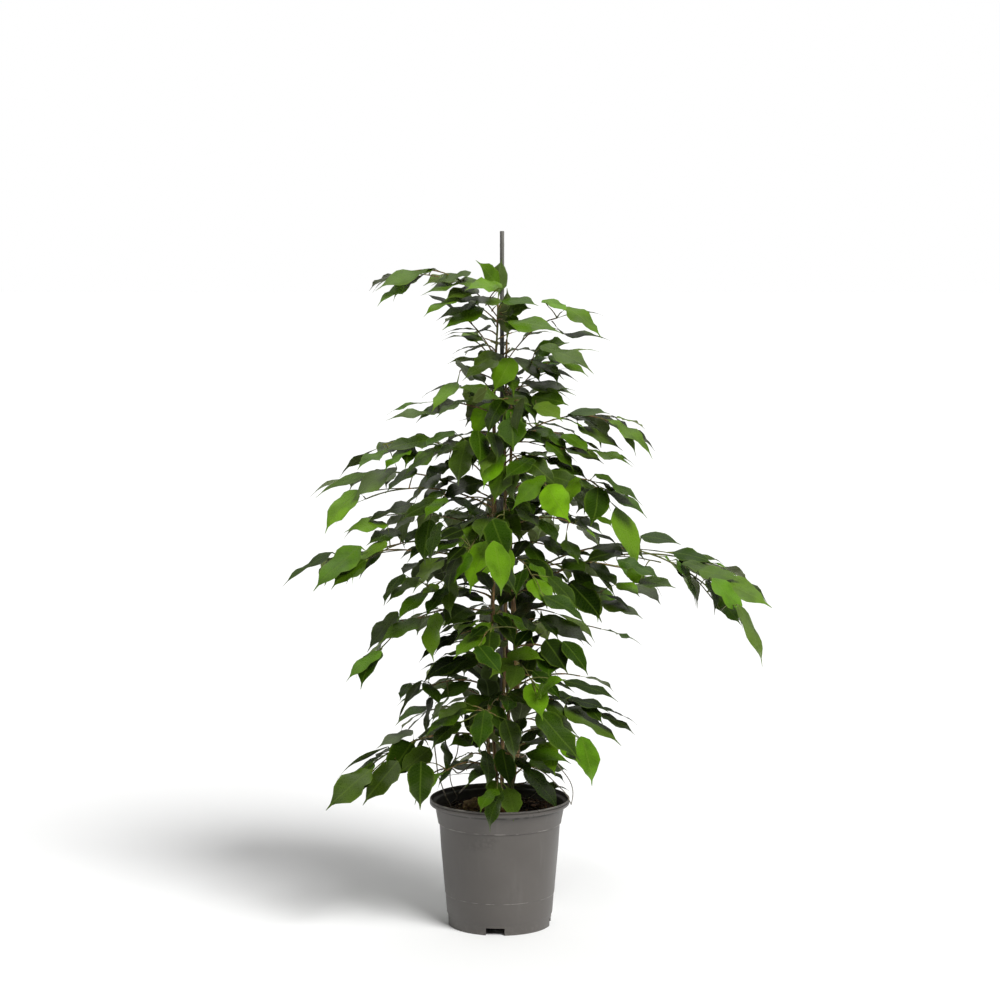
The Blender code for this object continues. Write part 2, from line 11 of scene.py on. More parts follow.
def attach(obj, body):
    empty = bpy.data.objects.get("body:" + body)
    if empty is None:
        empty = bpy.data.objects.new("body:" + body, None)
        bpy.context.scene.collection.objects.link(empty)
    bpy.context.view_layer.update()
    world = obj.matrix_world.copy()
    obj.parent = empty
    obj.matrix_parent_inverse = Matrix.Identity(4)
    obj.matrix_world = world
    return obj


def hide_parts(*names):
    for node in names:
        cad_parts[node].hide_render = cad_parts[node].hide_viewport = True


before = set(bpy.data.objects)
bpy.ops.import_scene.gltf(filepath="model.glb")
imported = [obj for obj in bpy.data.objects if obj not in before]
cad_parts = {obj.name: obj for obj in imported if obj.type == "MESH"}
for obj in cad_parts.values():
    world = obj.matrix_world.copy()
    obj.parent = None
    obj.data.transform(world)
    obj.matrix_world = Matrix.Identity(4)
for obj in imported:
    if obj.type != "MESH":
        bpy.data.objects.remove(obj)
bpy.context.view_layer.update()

# The pot.
# One injection-moulded piece of taupe-grey plastic: a proud lip, a stepped collar, a faint ring low
# on its wall, a notched foot and a pierced floor with a flat boss. It stands on the foot and boss.

MM = 0.001
UP = Vector((0, 0, 1))
POT_HEIGHT = 0.192
RIM_RADIUS = 0.105
FOOT_RADIUS = 0.0774
POT_ROUND = 96
# Radius and height in millimetres: from the underside out, up the wall, over the lip, down inside.
POT_PROFILE = (
    (23.0, 0.0), (25.0, 12.0), (74.0, 12.0), (73.8, 0.0), (77.4, 0.0), (77.8, 14.6), (78.6, 16.6),
    (79.4, 18.6), (81.4, 45.0), (81.7, 47.6), (82.3, 48.6), (83.6, 65.0), (88.4, 120.0),
    (90.6, 153.6), (90.7, 154.6), (92.7, 155.5), (92.7, 156.6), (97.1, 180.2), (98.0, 182.2),
    (104.3, 183.4), (105.0, 184.6), (105.0, 188.2), (104.3, 188.7), (104.3, 189.3), (105.0, 189.9),
    (104.7, 191.4), (103.6, 192.2), (102.6, 191.6), (102.2, 188.8), (101.3, 186.2), (96.2, 185.0),
    (94.5, 182.2), (89.4, 158.0), (88.4, 155.0), (82.0, 65.0), (75.2, 16.0), (74.0, 14.0),
    (23.2, 14.0), (21.2, 2.0),
)
EDGE_ROUNDING = 0.35 * MM
NOTCH_BEARINGS = (-95, -5, 85, 175)
NOTCH_SIZE = (0.020, 0.028, 0.022)
DRAINS = 8
DRAIN_RING = 0.050
DRAIN_RADIUS = 0.006
DRAIN_DEPTH = 0.010
DRAIN_MIDDLE = 0.013
NIB_BEARINGS = (-12, 12, -52, 52, -90, 90, -128, 128, -166, 166)
NIB_RING = 0.0816
NIB_HEIGHT = 0.0484
NIB_SIZE = (0.0014, 0.0055, 0.0009)
NIB_ROUNDING = 0.3 * MM
# The heights where marks are: the pale ridges (the collar's lower edge, the nibs, the lip), painted
# highlights with some scuffing; the grooves round the lip, with how dark their painted shade is; and
# what specks, the painted shade and soil stain inside, and dust keep to.
SCUFF_AND_HIGHLIGHT_BANDS = ((0.1549, 0.1567), (0.0478, 0.0490), (0.1908, 0.1930))
SHADED_GROOVES = ((0.1782, 0.1838, 0.75), (0.1878, 0.1900, 0.7))
SPECKS_FROM = (0.178, 0.184)
SHADE_AND_STAIN_BELOW = (0.1895, 0.1870)
DUST_BELOW = (0.02, 0.0)


def choose(*pieces):
    """These pieces alone selected, the first one active, so that the next operator acts on them."""
    if bpy.context.mode != "OBJECT":
        bpy.ops.object.mode_set(mode="OBJECT")
    bpy.ops.object.select_all(action="DESELECT")
    for piece in pieces:
        piece.select_set(True)
    bpy.context.view_layer.objects.active = pieces[0] if pieces else None


def keep_as(name):
    """Name the piece in hand and leave its object at the origin, with its place in its mesh."""
    piece = bpy.context.object
    bpy.ops.object.transform_apply(location=True, rotation=True, scale=True)
    piece.name = piece.data.name = name
    return piece


def face_outwards():
    """Turn the faces of the piece that is being edited outwards, and end the edit."""
    bpy.ops.mesh.select_all(action="SELECT")
    bpy.ops.mesh.normals_make_consistent(inside=False)
    bpy.ops.object.mode_set(mode="OBJECT")


def draw_out(rings):
    """Draw the disc in hand out ring by ring, each a middle and a size, to a closed piece."""
    bpy.ops.object.mode_set(mode="EDIT")
    bpy.ops.mesh.select_all(action="SELECT")
    for (middle, size), (next_middle, next_size) in zip(rings, rings[1:]):
        step = [b - a for a, b in zip(middle, next_middle)]
        bpy.ops.mesh.extrude_region_move(TRANSFORM_OT_translate={"value": step})
        share = [b / a for a, b in zip(size, next_size)]
        bpy.ops.transform.resize(value=share, center_override=next_middle)
    face_outwards()


def turned(name, profile, steps):
    """A round piece drawn out along radii and heights in millimetres, as on a lathe."""
    choose()
    rings = [((0, 0, height * MM), (radius, radius, 1)) for radius, height in profile]
    bpy.ops.mesh.primitive_circle_add(
        vertices=steps, radius=profile[0][0] * MM, fill_type="NGON", location=rings[0][0]
    )
    piece = keep_as(name)
    draw_out(rings)
    return piece


def apply_modifier(piece, kind, **settings):
    choose(piece)
    modifier = piece.modifiers.new("step", kind)
    for key, value in settings.items():
        setattr(modifier, key, value)
    bpy.ops.object.modifier_apply(modifier=modifier.name)


def cut_out_of(piece):
    """Cut the object in hand out of a piece."""
    cutter = bpy.context.object
    apply_modifier(piece, "BOOLEAN", operation="DIFFERENCE", solver="EXACT", object=cutter)
    bpy.data.objects.remove(cutter)


def smooth(piece, degrees):
    choose(piece)
    bpy.ops.object.shade_smooth_by_angle(angle=math.radians(degrees))


def join(pieces):
    """Several meshes made one object, which keeps the first one's name."""
    choose(*pieces)
    bpy.ops.object.join()
    return pieces[0]


def on_circle(radius, degrees, z=0.0):
    turn = math.radians(degrees)
    return Vector((radius * math.cos(turn), radius * math.sin(turn), z))


def block(place, degrees, size):
    """A cuboid at a place, turned about the upright through its middle."""
    bpy.ops.mesh.primitive_cube_add(
        size=1, location=place, rotation=(0, 0, math.radians(degrees)), scale=size
    )


pot = turned("nursery_pot", POT_PROFILE, POT_ROUND)
apply_modifier(
    pot, "BEVEL", width=EDGE_ROUNDING, segments=2, limit_method="ANGLE",
    angle_limit=math.radians(24)
)
for bearing in NOTCH_BEARINGS:
    block(on_circle(FOOT_RADIUS, bearing), bearing, NOTCH_SIZE)
    cut_out_of(pot)
for i in range(DRAINS):
    bpy.ops.mesh.primitive_cylinder_add(
        vertices=24, radius=DRAIN_RADIUS, depth=DRAIN_DEPTH,
        location=on_circle(DRAIN_RING, 360 / DRAINS * (i + 0.5), DRAIN_MIDDLE)
    )
    cut_out_of(pot)
nibs = []
for bearing in NIB_BEARINGS:
    choose()
    block(on_circle(NIB_RING, bearing - 90, NIB_HEIGHT), bearing - 90, NIB_SIZE)
    nibs.append(keep_as("nib"))
    apply_modifier(nibs[-1], "BEVEL", width=NIB_ROUNDING, segments=2)
pot = join([pot] + nibs)
smooth(pot, 32)


def plug(tree, node, sockets):
    """Set a node's inputs, by name or number, to values or to other nodes' outputs."""
    for key, value in sockets.items():
        if isinstance(value, bpy.types.NodeSocket):
            tree.links.new(value, node.inputs[key])
        else:
            node.inputs[key].default_value = value


def add_node(tree, kind, sockets=None, **settings):
    found = tree.nodes.new(kind)
    for key, value in settings.items():
        setattr(found, key, value)
    plug(tree, found, sockets or {})
    return found


def colour_of(value):
    """A colour as a socket takes it: with its alpha, or as another node gives it."""
    return value if isinstance(value, bpy.types.NodeSocket) else (*value, 1)


def new_material(name, colour, roughness):
    """A material, its node tree and its Principled shader."""
    made = bpy.data.materials.new(name)
    made.use_nodes = True
    tree = made.node_tree
    shader = tree.nodes["Principled BSDF"]
    plug(tree, shader, {"Base Color": colour_of(colour), "Roughness": roughness})
    return made, tree, shader


def between(tree, value, low, high, to_low=0.0, to_high=1.0):
    """A value's place between two limits, smoothed."""
    sockets = {
        "Value": value, "From Min": low, "From Max": high, "To Min": to_low, "To Max": to_high,
    }
    node = add_node(tree, "ShaderNodeMapRange", sockets, interpolation_type="SMOOTHSTEP")
    return node.outputs["Result"]


def math_node(tree, operation, one, two=0.0):
    return add_node(tree, "ShaderNodeMath", {0: one, 1: two}, operation=operation).outputs[0]


def product(tree, one, *others):
    for other in others:
        one = math_node(tree, "MULTIPLY", one, other)
    return one


def mix(tree, share, under, over):
    """One colour laid over another by a share."""
    sockets = {0: share, 6: colour_of(under), 7: colour_of(over)}
    return add_node(tree, "ShaderNodeMix", sockets, data_type="RGBA").outputs[2]


def bump(tree, shader, height, strength, distance):
    sockets = {"Height": height, "Strength": strength, "Distance": distance}
    plug(tree, shader, {"Normal": add_node(tree, "ShaderNodeBump", sockets).outputs["Normal"]})


def new_group(name, inputs, outputs):
    """A node group of number sockets, apart from one named Vector, and its two end nodes."""
    group = bpy.data.node_groups.new(name, "ShaderNodeTree")
    for key in inputs + outputs:
        group.interface.new_socket(
            key, in_out="INPUT" if key in inputs else "OUTPUT",
            socket_type="NodeSocketVector" if key == "Vector" else "NodeSocketFloat"
        )
    source, out = group.nodes.new("NodeGroupInput"), group.nodes.new("NodeGroupOutput")
    return group, [source.outputs[key] for key in inputs], out


def noise_of(tree, vector, scale, detail=2.0):
    sockets = {"Vector": vector, "Scale": scale, "Detail": detail}
    return add_node(tree, "ShaderNodeTexNoise", sockets).outputs["Fac"]


def make_mottle():
    """A group for many surfaces: soft patches, fine grain, and streaks stretched along Z."""
    group, (vector, scale, stretch), out = new_group(
        "mottle", ("Vector", "Scale", "Stretch"), ("Patches", "Grain", "Streaks")
    )
    flat = add_node(group, "ShaderNodeCombineXYZ", {0: 1.0, 1: 1.0, 2: stretch}).outputs[0]
    pulled = add_node(group, "ShaderNodeVectorMath", {0: vector, 1: flat}, operation="MULTIPLY")
    plug(group, out, {
        "Patches": noise_of(group, vector, scale, 4.0),
        "Grain": noise_of(group, vector, product(group, scale, 14.0), 3.0),
        "Streaks": noise_of(group, pulled.outputs[0], product(group, scale, 5.0)),
    })
    return group


mottle_group = make_mottle()


def mottle(tree, scale, stretch=1.0):
    """The mottle group placed in a material, on the piece's own coordinates."""
    place = add_node(tree, "ShaderNodeTexCoord").outputs["Object"]
    sockets = {"Vector": place, "Scale": scale, "Stretch": stretch}
    found = add_node(tree, "ShaderNodeGroup", sockets, node_tree=mottle_group).outputs
    return place, found["Patches"], found["Grain"], found["Streaks"]


def split(tree, place):
    """A place's height, and the level vector to it from the upright through the origin."""
    parts = add_node(tree, "ShaderNodeSeparateXYZ", {0: place}).outputs
    level = add_node(tree, "ShaderNodeCombineXYZ", {0: parts["X"], 1: parts["Y"]}).outputs[0]
    return parts["Z"], level


def band(tree, height, low, high, hard, most=1.0):
    """A share that is full inside a band of heights and fades out at its edges."""
    middle, half = (low + high) / 2, (high - low) / 2
    off = math_node(tree, "ABSOLUTE", math_node(tree, "SUBTRACT", height, middle))
    return between(tree, off, half, half * hard, 0.0, most)


def pot_plastic():
    """Moulded taupe plastic: faint draw lines, dark smears, dust low down, dark specks, pale ridges
    painted as highlights with some scuffing, painted shade in the grooves round the lip, and the inside
    above the soil darkened as painted shade and soil stain.
    """
    made, tree, shader = new_material("pot_plastic", (0.085, 0.079, 0.073), 0.45)
    place, patches, grain, streaks = mottle(tree, 14.0, 0.12)
    height, level = split(tree, place)
    blotches = between(tree, patches, 0.35, 0.70)
    colour = mix(tree, blotches, (0.081, 0.073, 0.066), (0.095, 0.0865, 0.079))
    lines = between(tree, streaks, 0.58, 0.85, 0.0, 0.30)
    colour = mix(tree, lines, colour, (0.125, 0.117, 0.108))
    smears = between(tree, patches, 0.60, 0.72, 0.0, 0.35)
    smears = product(tree, smears, between(tree, grain, 0.35, 0.6))
    colour = mix(tree, smears, colour, (0.045, 0.040, 0.036))
    # Painted highlights, with some scuffing: pale bands along the ridges where the light catches them.
    scuff_and_highlight = 0.0
    for low, high in SCUFF_AND_HIGHLIGHT_BANDS:
        scuff_and_highlight = math_node(tree, "ADD", scuff_and_highlight, band(tree, height, low, high, 0.5))
    scuff_and_highlight = product(tree, scuff_and_highlight, between(tree, streaks, 0.40, 0.62), 0.42)
    colour = mix(tree, scuff_and_highlight, colour, (0.36, 0.34, 0.31))
    # Painted shade: dark bands in the grooves under and round the lip.
    for low, high, share in SHADED_GROOVES:
        groove_shade = band(tree, height, low, high, 0.4, share)
        groove_shade = product(tree, groove_shade, between(tree, streaks, 0.25, 0.5))
        colour = mix(tree, groove_shade, colour, (0.020, 0.017, 0.014))
    cells = add_node(tree, "ShaderNodeTexVoronoi", {"Vector": place, "Scale": 210.0})
    specks = between(tree, cells.outputs["Distance"], 0.26, 0.12)
    specks = product(tree, specks, between(tree, height, *SPECKS_FROM),
                     between(tree, patches, 0.40, 0.55), 0.8)
    colour = mix(tree, specks, colour, (0.020, 0.015, 0.012))
    # Painted shade with soil stain: the inside wall above the soil is darkened.
    normal = add_node(tree, "ShaderNodeTexCoord").outputs["Normal"]
    faces = {0: level, 1: normal}
    outwards = add_node(tree, "ShaderNodeVectorMath", faces, operation="DOT_PRODUCT")
    inside = between(tree, outwards.outputs["Value"], 0.02, -0.03)
    shade_and_stain = product(tree, inside, between(tree, height, *SHADE_AND_STAIN_BELOW), 0.8)
    colour = mix(tree, shade_and_stain, colour, (0.016, 0.012, 0.009))
    dusty = product(tree, between(tree, height, *DUST_BELOW), between(tree, grain, 0.45, 0.7), 0.2)
    colour = mix(tree, dusty, colour, (0.20, 0.19, 0.17))
    dull = between(tree, patches, 0.3, 0.7, 0.38, 0.50)
    plug(tree, shader, {"Base Color": colour, "Roughness": dull})
    bump(tree, shader, grain, 0.12, 0.4 * MM)
    return made


pot.data.materials.append(pot_plastic())
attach(pot, "root")
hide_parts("pot")

# The soil.
# Dark, moist peat compost that fills the pot to about 19 mm under the rim: a lumpy top with crumbs,
# bark chips, pale scraps, loose fibres and one fibrous brown lump at the left.

SOIL_TOP = 0.173
SOIL_ROUND = 96
SOIL_PROFILE = (
    (20.8, 2.4), (22.8, 14.4), (73.9, 14.4), (81.5, 65.0), (88.7, 155.8), (91.8, 171.5),
    (90.2, 173.0), *((radius, 173.0) for radius in range(87, 0, -3)),
)
# How high the top's swells, clods and crumbs stand, each with how many fit in a metre or so.
SOIL_SWELLS = ((0.0035, 38), (0.0016, 130), (0.0008, 320))
SOIL_EDGE = 0.086
# The loose bits: how many, their sizes, how far out they lie and what share of them is sunk.
CRUMBS = dict(count=620, sizes=(0.0018, 0.0060), reach=0.086, sink=0.35)
CHIPS = dict(count=60, sizes=(0.005, 0.013), reach=0.082, sink=0.2, flat=True)
SCRAPS = dict(count=16, sizes=(0.003, 0.008), reach=0.085, sink=0.0, flat=True)
LUMP_PLACE = (-0.038, 0.004, 0.176)
LUMP_SIZE = (0.018, 0.015, 0.012)
LUMP_ROUGHNESS = ((0.45, 90), (0.22, 260), (0.10, 800))
FIBRE_RADIUS = 0.24 * MM
FIBRES = dict(count=110, middle=(0, 0), reach=0.084, length=0.022)
LUMP_FIBRES = dict(count=150, middle=LUMP_PLACE[:2], reach=0.017, length=0.014)


def ripples(place, waves):
    """The sum of several noises at a place, each with its height and its scale."""
    return sum(height * noise.noise(place * scale) for height, scale in waves)


def soil_rise(x, y):
    """How far the soil stands above its mean level: broad swells, then clods, then crumbs."""
    rise = ripples(Vector((x, y, SOIL_TOP)), SOIL_SWELLS)
    return rise * (1.0 if math.hypot(x, y) < SOIL_EDGE else 0.3)


soil = turned("potting_soil", SOIL_PROFILE, SOIL_ROUND)
for vertex in soil.data.vertices:
    if vertex.co.z > SOIL_TOP - 0.1 * MM:
        vertex.co.z += soil_rise(vertex.co.x, vertex.co.y)
smooth(soil, 60)


def read_mesh(piece):
    """A mesh's corner places and faces, and the object removed."""
    mesh = piece.data
    places = np.array([tuple(vertex.co) for vertex in mesh.vertices])
    faces = [tuple(face.vertices) for face in mesh.polygons]
    bpy.data.objects.remove(piece)
    bpy.data.meshes.remove(mesh)
    return places, faces


def add_object(name, data):
    """A new object at the origin for a mesh, a curve, a light or a camera."""
    made = bpy.data.objects.new(name, data)
    bpy.context.collection.objects.link(made)
    return made


def make_copies(name, places, faces, transforms):
    """One mesh that holds a copy of a shape for each transform."""
    all_places, all_faces = [], []
    for i, transform in enumerate(transforms):
        turn = np.array(transform.to_3x3())
        all_places.append(places @ turn.T + np.array(transform.translation))
        all_faces += [tuple(corner + i * len(places) for corner in face) for face in faces]
    mesh = bpy.data.meshes.new(name)
    mesh.from_pydata(np.concatenate(all_places).tolist(), [], all_faces)
    return add_object(name, mesh)


def crumb_shape():
    """A rough crumb a unit across."""
    choose()
    bpy.ops.mesh.primitive_ico_sphere_add(subdivisions=2, radius=0.5)
    crumb = keep_as("crumb")
    for vertex in crumb.data.vertices:
        vertex.co *= 1 + 0.55 * noise.noise(vertex.co * 2.7 + Vector((3, 1, 4)))
    return read_mesh(crumb)


def chip_shape():
    """A flat bark chip a unit long, with uneven ends."""
    choose()
    block((0, 0, 0), 0, (1.0, 0.45, 0.16))
    chip = keep_as("chip")
    apply_modifier(chip, "BEVEL", width=0.05, segments=1)
    for vertex in chip.data.vertices:
        vertex.co.x += 0.16 * noise.noise(vertex.co * 5)
        vertex.co.y += 0.14 * noise.noise(vertex.co * 4 + UP)
        vertex.co.z += 0.10 * noise.noise(vertex.co * 3 - UP)
    return read_mesh(chip)


def lay_on_soil(draw, count, sizes, reach, sink, flat=False):
    """Places for loose bits on the soil, each turned at random and sunk a little into it."""
    found = []
    tip, thick = (0.35, 0.3) if flat else (3.1, 1.0)
    for _ in range(count):
        radius, bearing = reach * math.sqrt(draw.random()), draw.uniform(0, 360)
        place = on_circle(radius, bearing)
        size = draw.uniform(*sizes)
        place.z = SOIL_TOP + soil_rise(place.x, place.y) + size * (0.5 - sink) * thick
        turn = Euler((draw.uniform(-tip, tip), draw.uniform(-tip, tip), draw.uniform(0, 6.3)))
        found.append(Matrix.Translation(place) @ (turn.to_matrix() * size).to_4x4())
    return found


loose = random.Random(11)
crumbs = make_copies("soil_crumbs", *crumb_shape(), lay_on_soil(loose, **CRUMBS))
chips = make_copies("bark_chips", *chip_shape(), lay_on_soil(loose, **CHIPS))
scraps = make_copies("pale_scraps", *chip_shape(), lay_on_soil(loose, **SCRAPS))
for piece in (crumbs, chips, scraps):
    smooth(piece, 50)

choose()
bpy.ops.mesh.primitive_ico_sphere_add(
    subdivisions=5, radius=1, location=LUMP_PLACE, scale=LUMP_SIZE
)
lump = keep_as("fibrous_lump")
for vertex in lump.data.vertices:
    vertex.co += (vertex.co - Vector(LUMP_PLACE)) * ripples(vertex.co, LUMP_ROUGHNESS)
smooth(lump, 60)


def threads(name, lines, radii, sides=1):
    """Round threads along lines, with a radius at each point."""
    curve = bpy.data.curves.new(name, "CURVE")
    curve.dimensions = "3D"
    curve.bevel_depth = 1.0
    curve.bevel_resolution = sides
    curve.use_fill_caps = True
    for line, widths in zip(lines, radii):
        spline = curve.splines.new("POLY")
        spline.points.add(len(line) - 1)
        for spot, point, width in zip(spline.points, line, widths):
            spot.co = (*point, 1)
            spot.radius = width
    choose(add_object(name, curve))
    bpy.ops.object.convert(target="MESH")
    bpy.ops.object.mode_set(mode="EDIT")
    bpy.ops.mesh.select_all(action="SELECT")
    bpy.ops.mesh.remove_doubles(threshold=0.002 * MM)
    face_outwards()
    return bpy.context.object


def fibre_lines(draw, count, middle, reach, length):
    """Short wandering fibres that lie on the soil."""
    lines = []
    for _ in range(count):
        start = on_circle(reach * math.sqrt(draw.random()), draw.uniform(0, 360))
        x, y = middle[0] + start.x, middle[1] + start.y
        heading, line = draw.uniform(0, 6.3), []
        for _ in range(7):
            if math.hypot(x, y) < 0.088:
                rise = soil_rise(x, y) + draw.uniform(0.0001, 0.0016)
                line.append(Vector((x, y, SOIL_TOP + rise)))
            heading += draw.uniform(-0.7, 0.7)
            x += length / 6 * math.cos(heading)
            y += length / 6 * math.sin(heading)
        if len(line) > 3:
            lines.append(line)
    return lines


fibre_paths = fibre_lines(loose, **FIBRES) + fibre_lines(loose, **LUMP_FIBRES)
fibre_radii = [[FIBRE_RADIUS] * len(path) for path in fibre_paths]
fibres = threads("soil_fibres", fibre_paths, fibre_radii, 0)


def earth(name, dark, light, scale, roughness, depth):
    """An earthy finish: patches of two colours, fine grain and a rough surface."""
    made, tree, shader = new_material(name, dark, roughness)
    _, patches, grain, _ = mottle(tree, scale)
    colour = mix(tree, between(tree, patches, 0.40, 0.66), dark, light)
    pale = [2.2 * share for share in light]
    colour = mix(tree, between(tree, grain, 0.52, 0.75, 0.0, 0.55), colour, pale)
    plug(tree, shader, {"Base Color": colour})
    bump(tree, shader, grain, 0.9, depth)
    return made


for piece, *finish in (
    (soil, "moist_peat", (0.013, 0.0075, 0.0045), (0.036, 0.020, 0.011), 45.0, 0.92, 0.0012),
    (crumbs, "peat_crumb", (0.018, 0.010, 0.006), (0.060, 0.030, 0.015), 60.0, 0.9, 0.0008),
    (chips, "bark_chip", (0.060, 0.026, 0.012), (0.16, 0.075, 0.034), 80.0, 0.85, 0.0006),
    (scraps, "pale_scrap", (0.28, 0.22, 0.13), (0.42, 0.35, 0.22), 80.0, 0.8, 0.0004),
    (fibres, "coir_fibre", (0.10, 0.055, 0.025), (0.26, 0.16, 0.080), 120.0, 0.8, 0.0002),
    (lump, "fibrous_lump", (0.26, 0.165, 0.085), (0.50, 0.34, 0.19), 110.0, 0.9, 0.0010),
):
    piece.data.materials.append(earth(*finish))
    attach(piece, "root")
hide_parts("soil")

# The cane.
# A straight grey stake, weathered and dull, pushed down into the soil at the middle of the pot. The
# stems stand round it, and its bare tip is the plant's highest point.

STAKE_RADIUS = 0.0033
STAKE_TOP = 1.038
STAKE_FOOT = 0.052
MIDDLE = Vector((0.0035, 0, 0))
# In millimetres: the foot, then a slight knot at each joint of the cane, then the tip.
CANE_JOINT = 138
CANE_JOINTS = 7
CANE_KNOT = ((3.15, -5), (3.3, -1.2), (3.3, 0.6), (3.12, 3))

low, high = STAKE_FOOT / MM, STAKE_TOP / MM
cane_profile = [(2.9, low), (3.2, low + 1)]
for i in range(1, CANE_JOINTS + 1):
    cane_profile += [(radius, low + CANE_JOINT * i + step) for radius, step in CANE_KNOT]
cane = turned("cane", cane_profile + [(3.2, high - 1.0), (2.8, high)], 16)
for vertex in cane.data.vertices:
    vertex.co += MIDDLE
smooth(cane, 40)


def cane_grain():
    """Weathered grey wood: long streaks, darker smears and a dull surface."""
    made, tree, shader = new_material("weathered_cane", (0.15, 0.145, 0.13), 0.7)
    _, patches, grain, streaks = mottle(tree, 30.0, 0.035)
    lines = between(tree, streaks, 0.35, 0.68)
    colour = mix(tree, lines, (0.055, 0.052, 0.048), (0.15, 0.145, 0.13))
    smears = between(tree, patches, 0.58, 0.75, 0.0, 0.6)
    colour = mix(tree, smears, colour, (0.035, 0.032, 0.028))
    dull = between(tree, grain, 0.3, 0.7, 0.6, 0.8)
    plug(tree, shader, {"Base Color": colour, "Roughness": dull})
    bump(tree, shader, streaks, 0.5, 0.4 * MM)
    return made


cane.data.materials.append(cane_grain())
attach(cane, "root")
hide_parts("stake")

# How the fig grows.
# Five stems rooted together round the cane, one of them thick, with long arching branches, short
# shoots and side twigs. It sets where the wood runs and how each leaf lies, clear of the rest.

STEM_FOOT = 0.105
STEM_RINGS = 9

# Each stem: its bearing round the cane in degrees, its tip's height, its radius low down and there.
Stem = namedtuple("Stem", "bearing top thick thin")
STEMS = {
    "a": Stem(-20, 0.800, 0.0057, 0.0018),
    "b": Stem(52, 0.855, 0.0039, 0.0018),
    "c": Stem(124, 0.850, 0.0037, 0.0018),
    "d": Stem(196, 0.940, 0.0041, 0.0018),
    "e": Stem(268, 0.880, 0.0037, 0.0018),
}
STEM_GATHER = 0.0125
STEM_SPREAD = 0.023
STEM_FAN = 0.15
STEM_LEAN = 0.012
STEM_TWIST = 35
STEM_SWAY = 0.0030
STEM_WAVES = 9

# Each branch, in millimetres: the height where it leaves its stem, where its last leaf ends, and
# how far it bows up on the way.
BRANCHES = {
    "a": (
        (790, (135, -30, 839), 45), (755, (102, -60, 791), 30), (690, (198, -50, 690), 40),
        (655, (185, -100, 652), 35), (600, (158, -75, 575), 40), (510, (383, -100, 425), 140),
        (495, (393, -20, 494), 90), (500, (204, -80, 485), 30), (420, (131, -100, 388), 30),
        (330, (194, -20, 301), 35), (270, (135, -100, 243), 35), (222, (89, -50, 196), 45),
    ),
    "b": (
        (836, (142, 25, 884), 62), (840, (30, 110, 845), 30), (790, (90, 120, 770), 35),
        (715, (224, 40, 709), 70), (740, (70, 170, 700), 40), (640, (223, 80, 617), 40),
        (640, (60, 220, 600), 45), (600, (150, 190, 550), 45), (520, (244, 100, 500), 40),
        (500, (110, 220, 460), 40), (430, (155, 160, 405), 40), (390, (60, 200, 340), 40),
        (350, (175, 80, 333), 40), (275, (123, 100, 252), 30), (230, (70, 150, 205), 30),
    ),
    "c": (
        (840, (-60, 100, 860), 30), (790, (-99, 60, 778), 30), (770, (-10, 150, 740), 35),
        (700, (-110, 150, 680), 40), (640, (-271, 60, 648), 45), (620, (-40, 210, 570), 45),
        (590, (-228, 100, 587), 35), (540, (-320, 40, 519), 45), (520, (-150, 190, 500), 40),
        (460, (-20, 230, 410), 40), (440, (-193, 80, 418), 40), (370, (-110, 180, 340), 40),
        (310, (-161, 100, 267), 40), (300, (0, 180, 250), 30), (240, (-70, 150, 200), 30),
    ),
    "d": (
        (912, (-180, -20, 940), 72), (905, (-84, 15, 945), 14), (886, (-66, -45, 900), 12),
        (850, (-113, 30, 909), 50), (770, (-160, 20, 766), 25),
        (665, (-227, -40, 675), 85), (630, (-250, -80, 614), 55), (575, (-264, -60, 529), 40),
        (540, (-137, -140, 482), 35), (470, (-218, -50, 384), 60), (360, (-151, -30, 323), 40),
        (285, (-245, -50, 196), 55), (240, (-117, -110, 212), 35),
    ),
    "e": (
        (862, (52, -35, 884), 14), (850, (0, -60, 822), 30), (800, (25, -105, 735), 35),
        (745, (-20, -135, 680), 40),
        (705, (45, -155, 652), 40), (670, (92, -160, 636), 40), (640, (5, -185, 590), 45),
        (600, (-60, -195, 545), 45), (545, (60, -200, 510), 45), (470, (-20, -200, 430), 45),
        (400, (60, -175, 350), 45), (340, (-32, -160, 300), 40), (290, (87, -140, 295), 45),
        (262, (48, -88, 226), 22), (248, (-42, -82, 214), 22), (232, (-10, -105, 190), 30),
    ),
}
ARCH_SHARES = (0.33, 0.74)
ARCH_STEPS = 24
BRANCH_RADII = (0.0027, 0.0017)
BRANCH_SHARE = 0.85
BRANCH_STEP = 0.068
SWINGS = (0, 4, -4, 8, -8, 12, -12, 16, -16, 20, -20, 25, -25)

# Short shoots all round the stems, between the branches.
SHOOTS = 28
SHOOT_HEIGHTS = (0.30, 0.87)
SHOOT_REACH = (0.115, 0.155)
SHOOT_SHORTER_ABOVE = 0.75
SHOOT_RISE = 0.025
SHOOT_DROP = 0.045
SHOOT_RADII = (0.0023, 0.0017)
SHOOT_SWINGS = (0, 15, -15, 30, -30, 45, -45)
GOLDEN_ANGLE = 137.5

# Side twigs of the branches longer than FORK_FROM, and two on those longer than FORK_TWICE.
FORK_FROM = 0.21
FORK_TWICE = 0.30
FORK_PLACES = ((0.5,), (0.42, 0.66))
FORK_REACH = (0.125, 0.150)
FORK_ALONG = 0.78
FORK_ASIDE = 0.62
FORK_DROP = 0.025
FORK_RISE = 0.010
FORK_RADII = (0.0012, 0.0016)

# The bare wood at the foot of a branch and of a side twig, and the step between leaves along them.
BARE_BRANCH = 0.055
BARE_FORK = 0.020
LEAF_GAP = 0.042
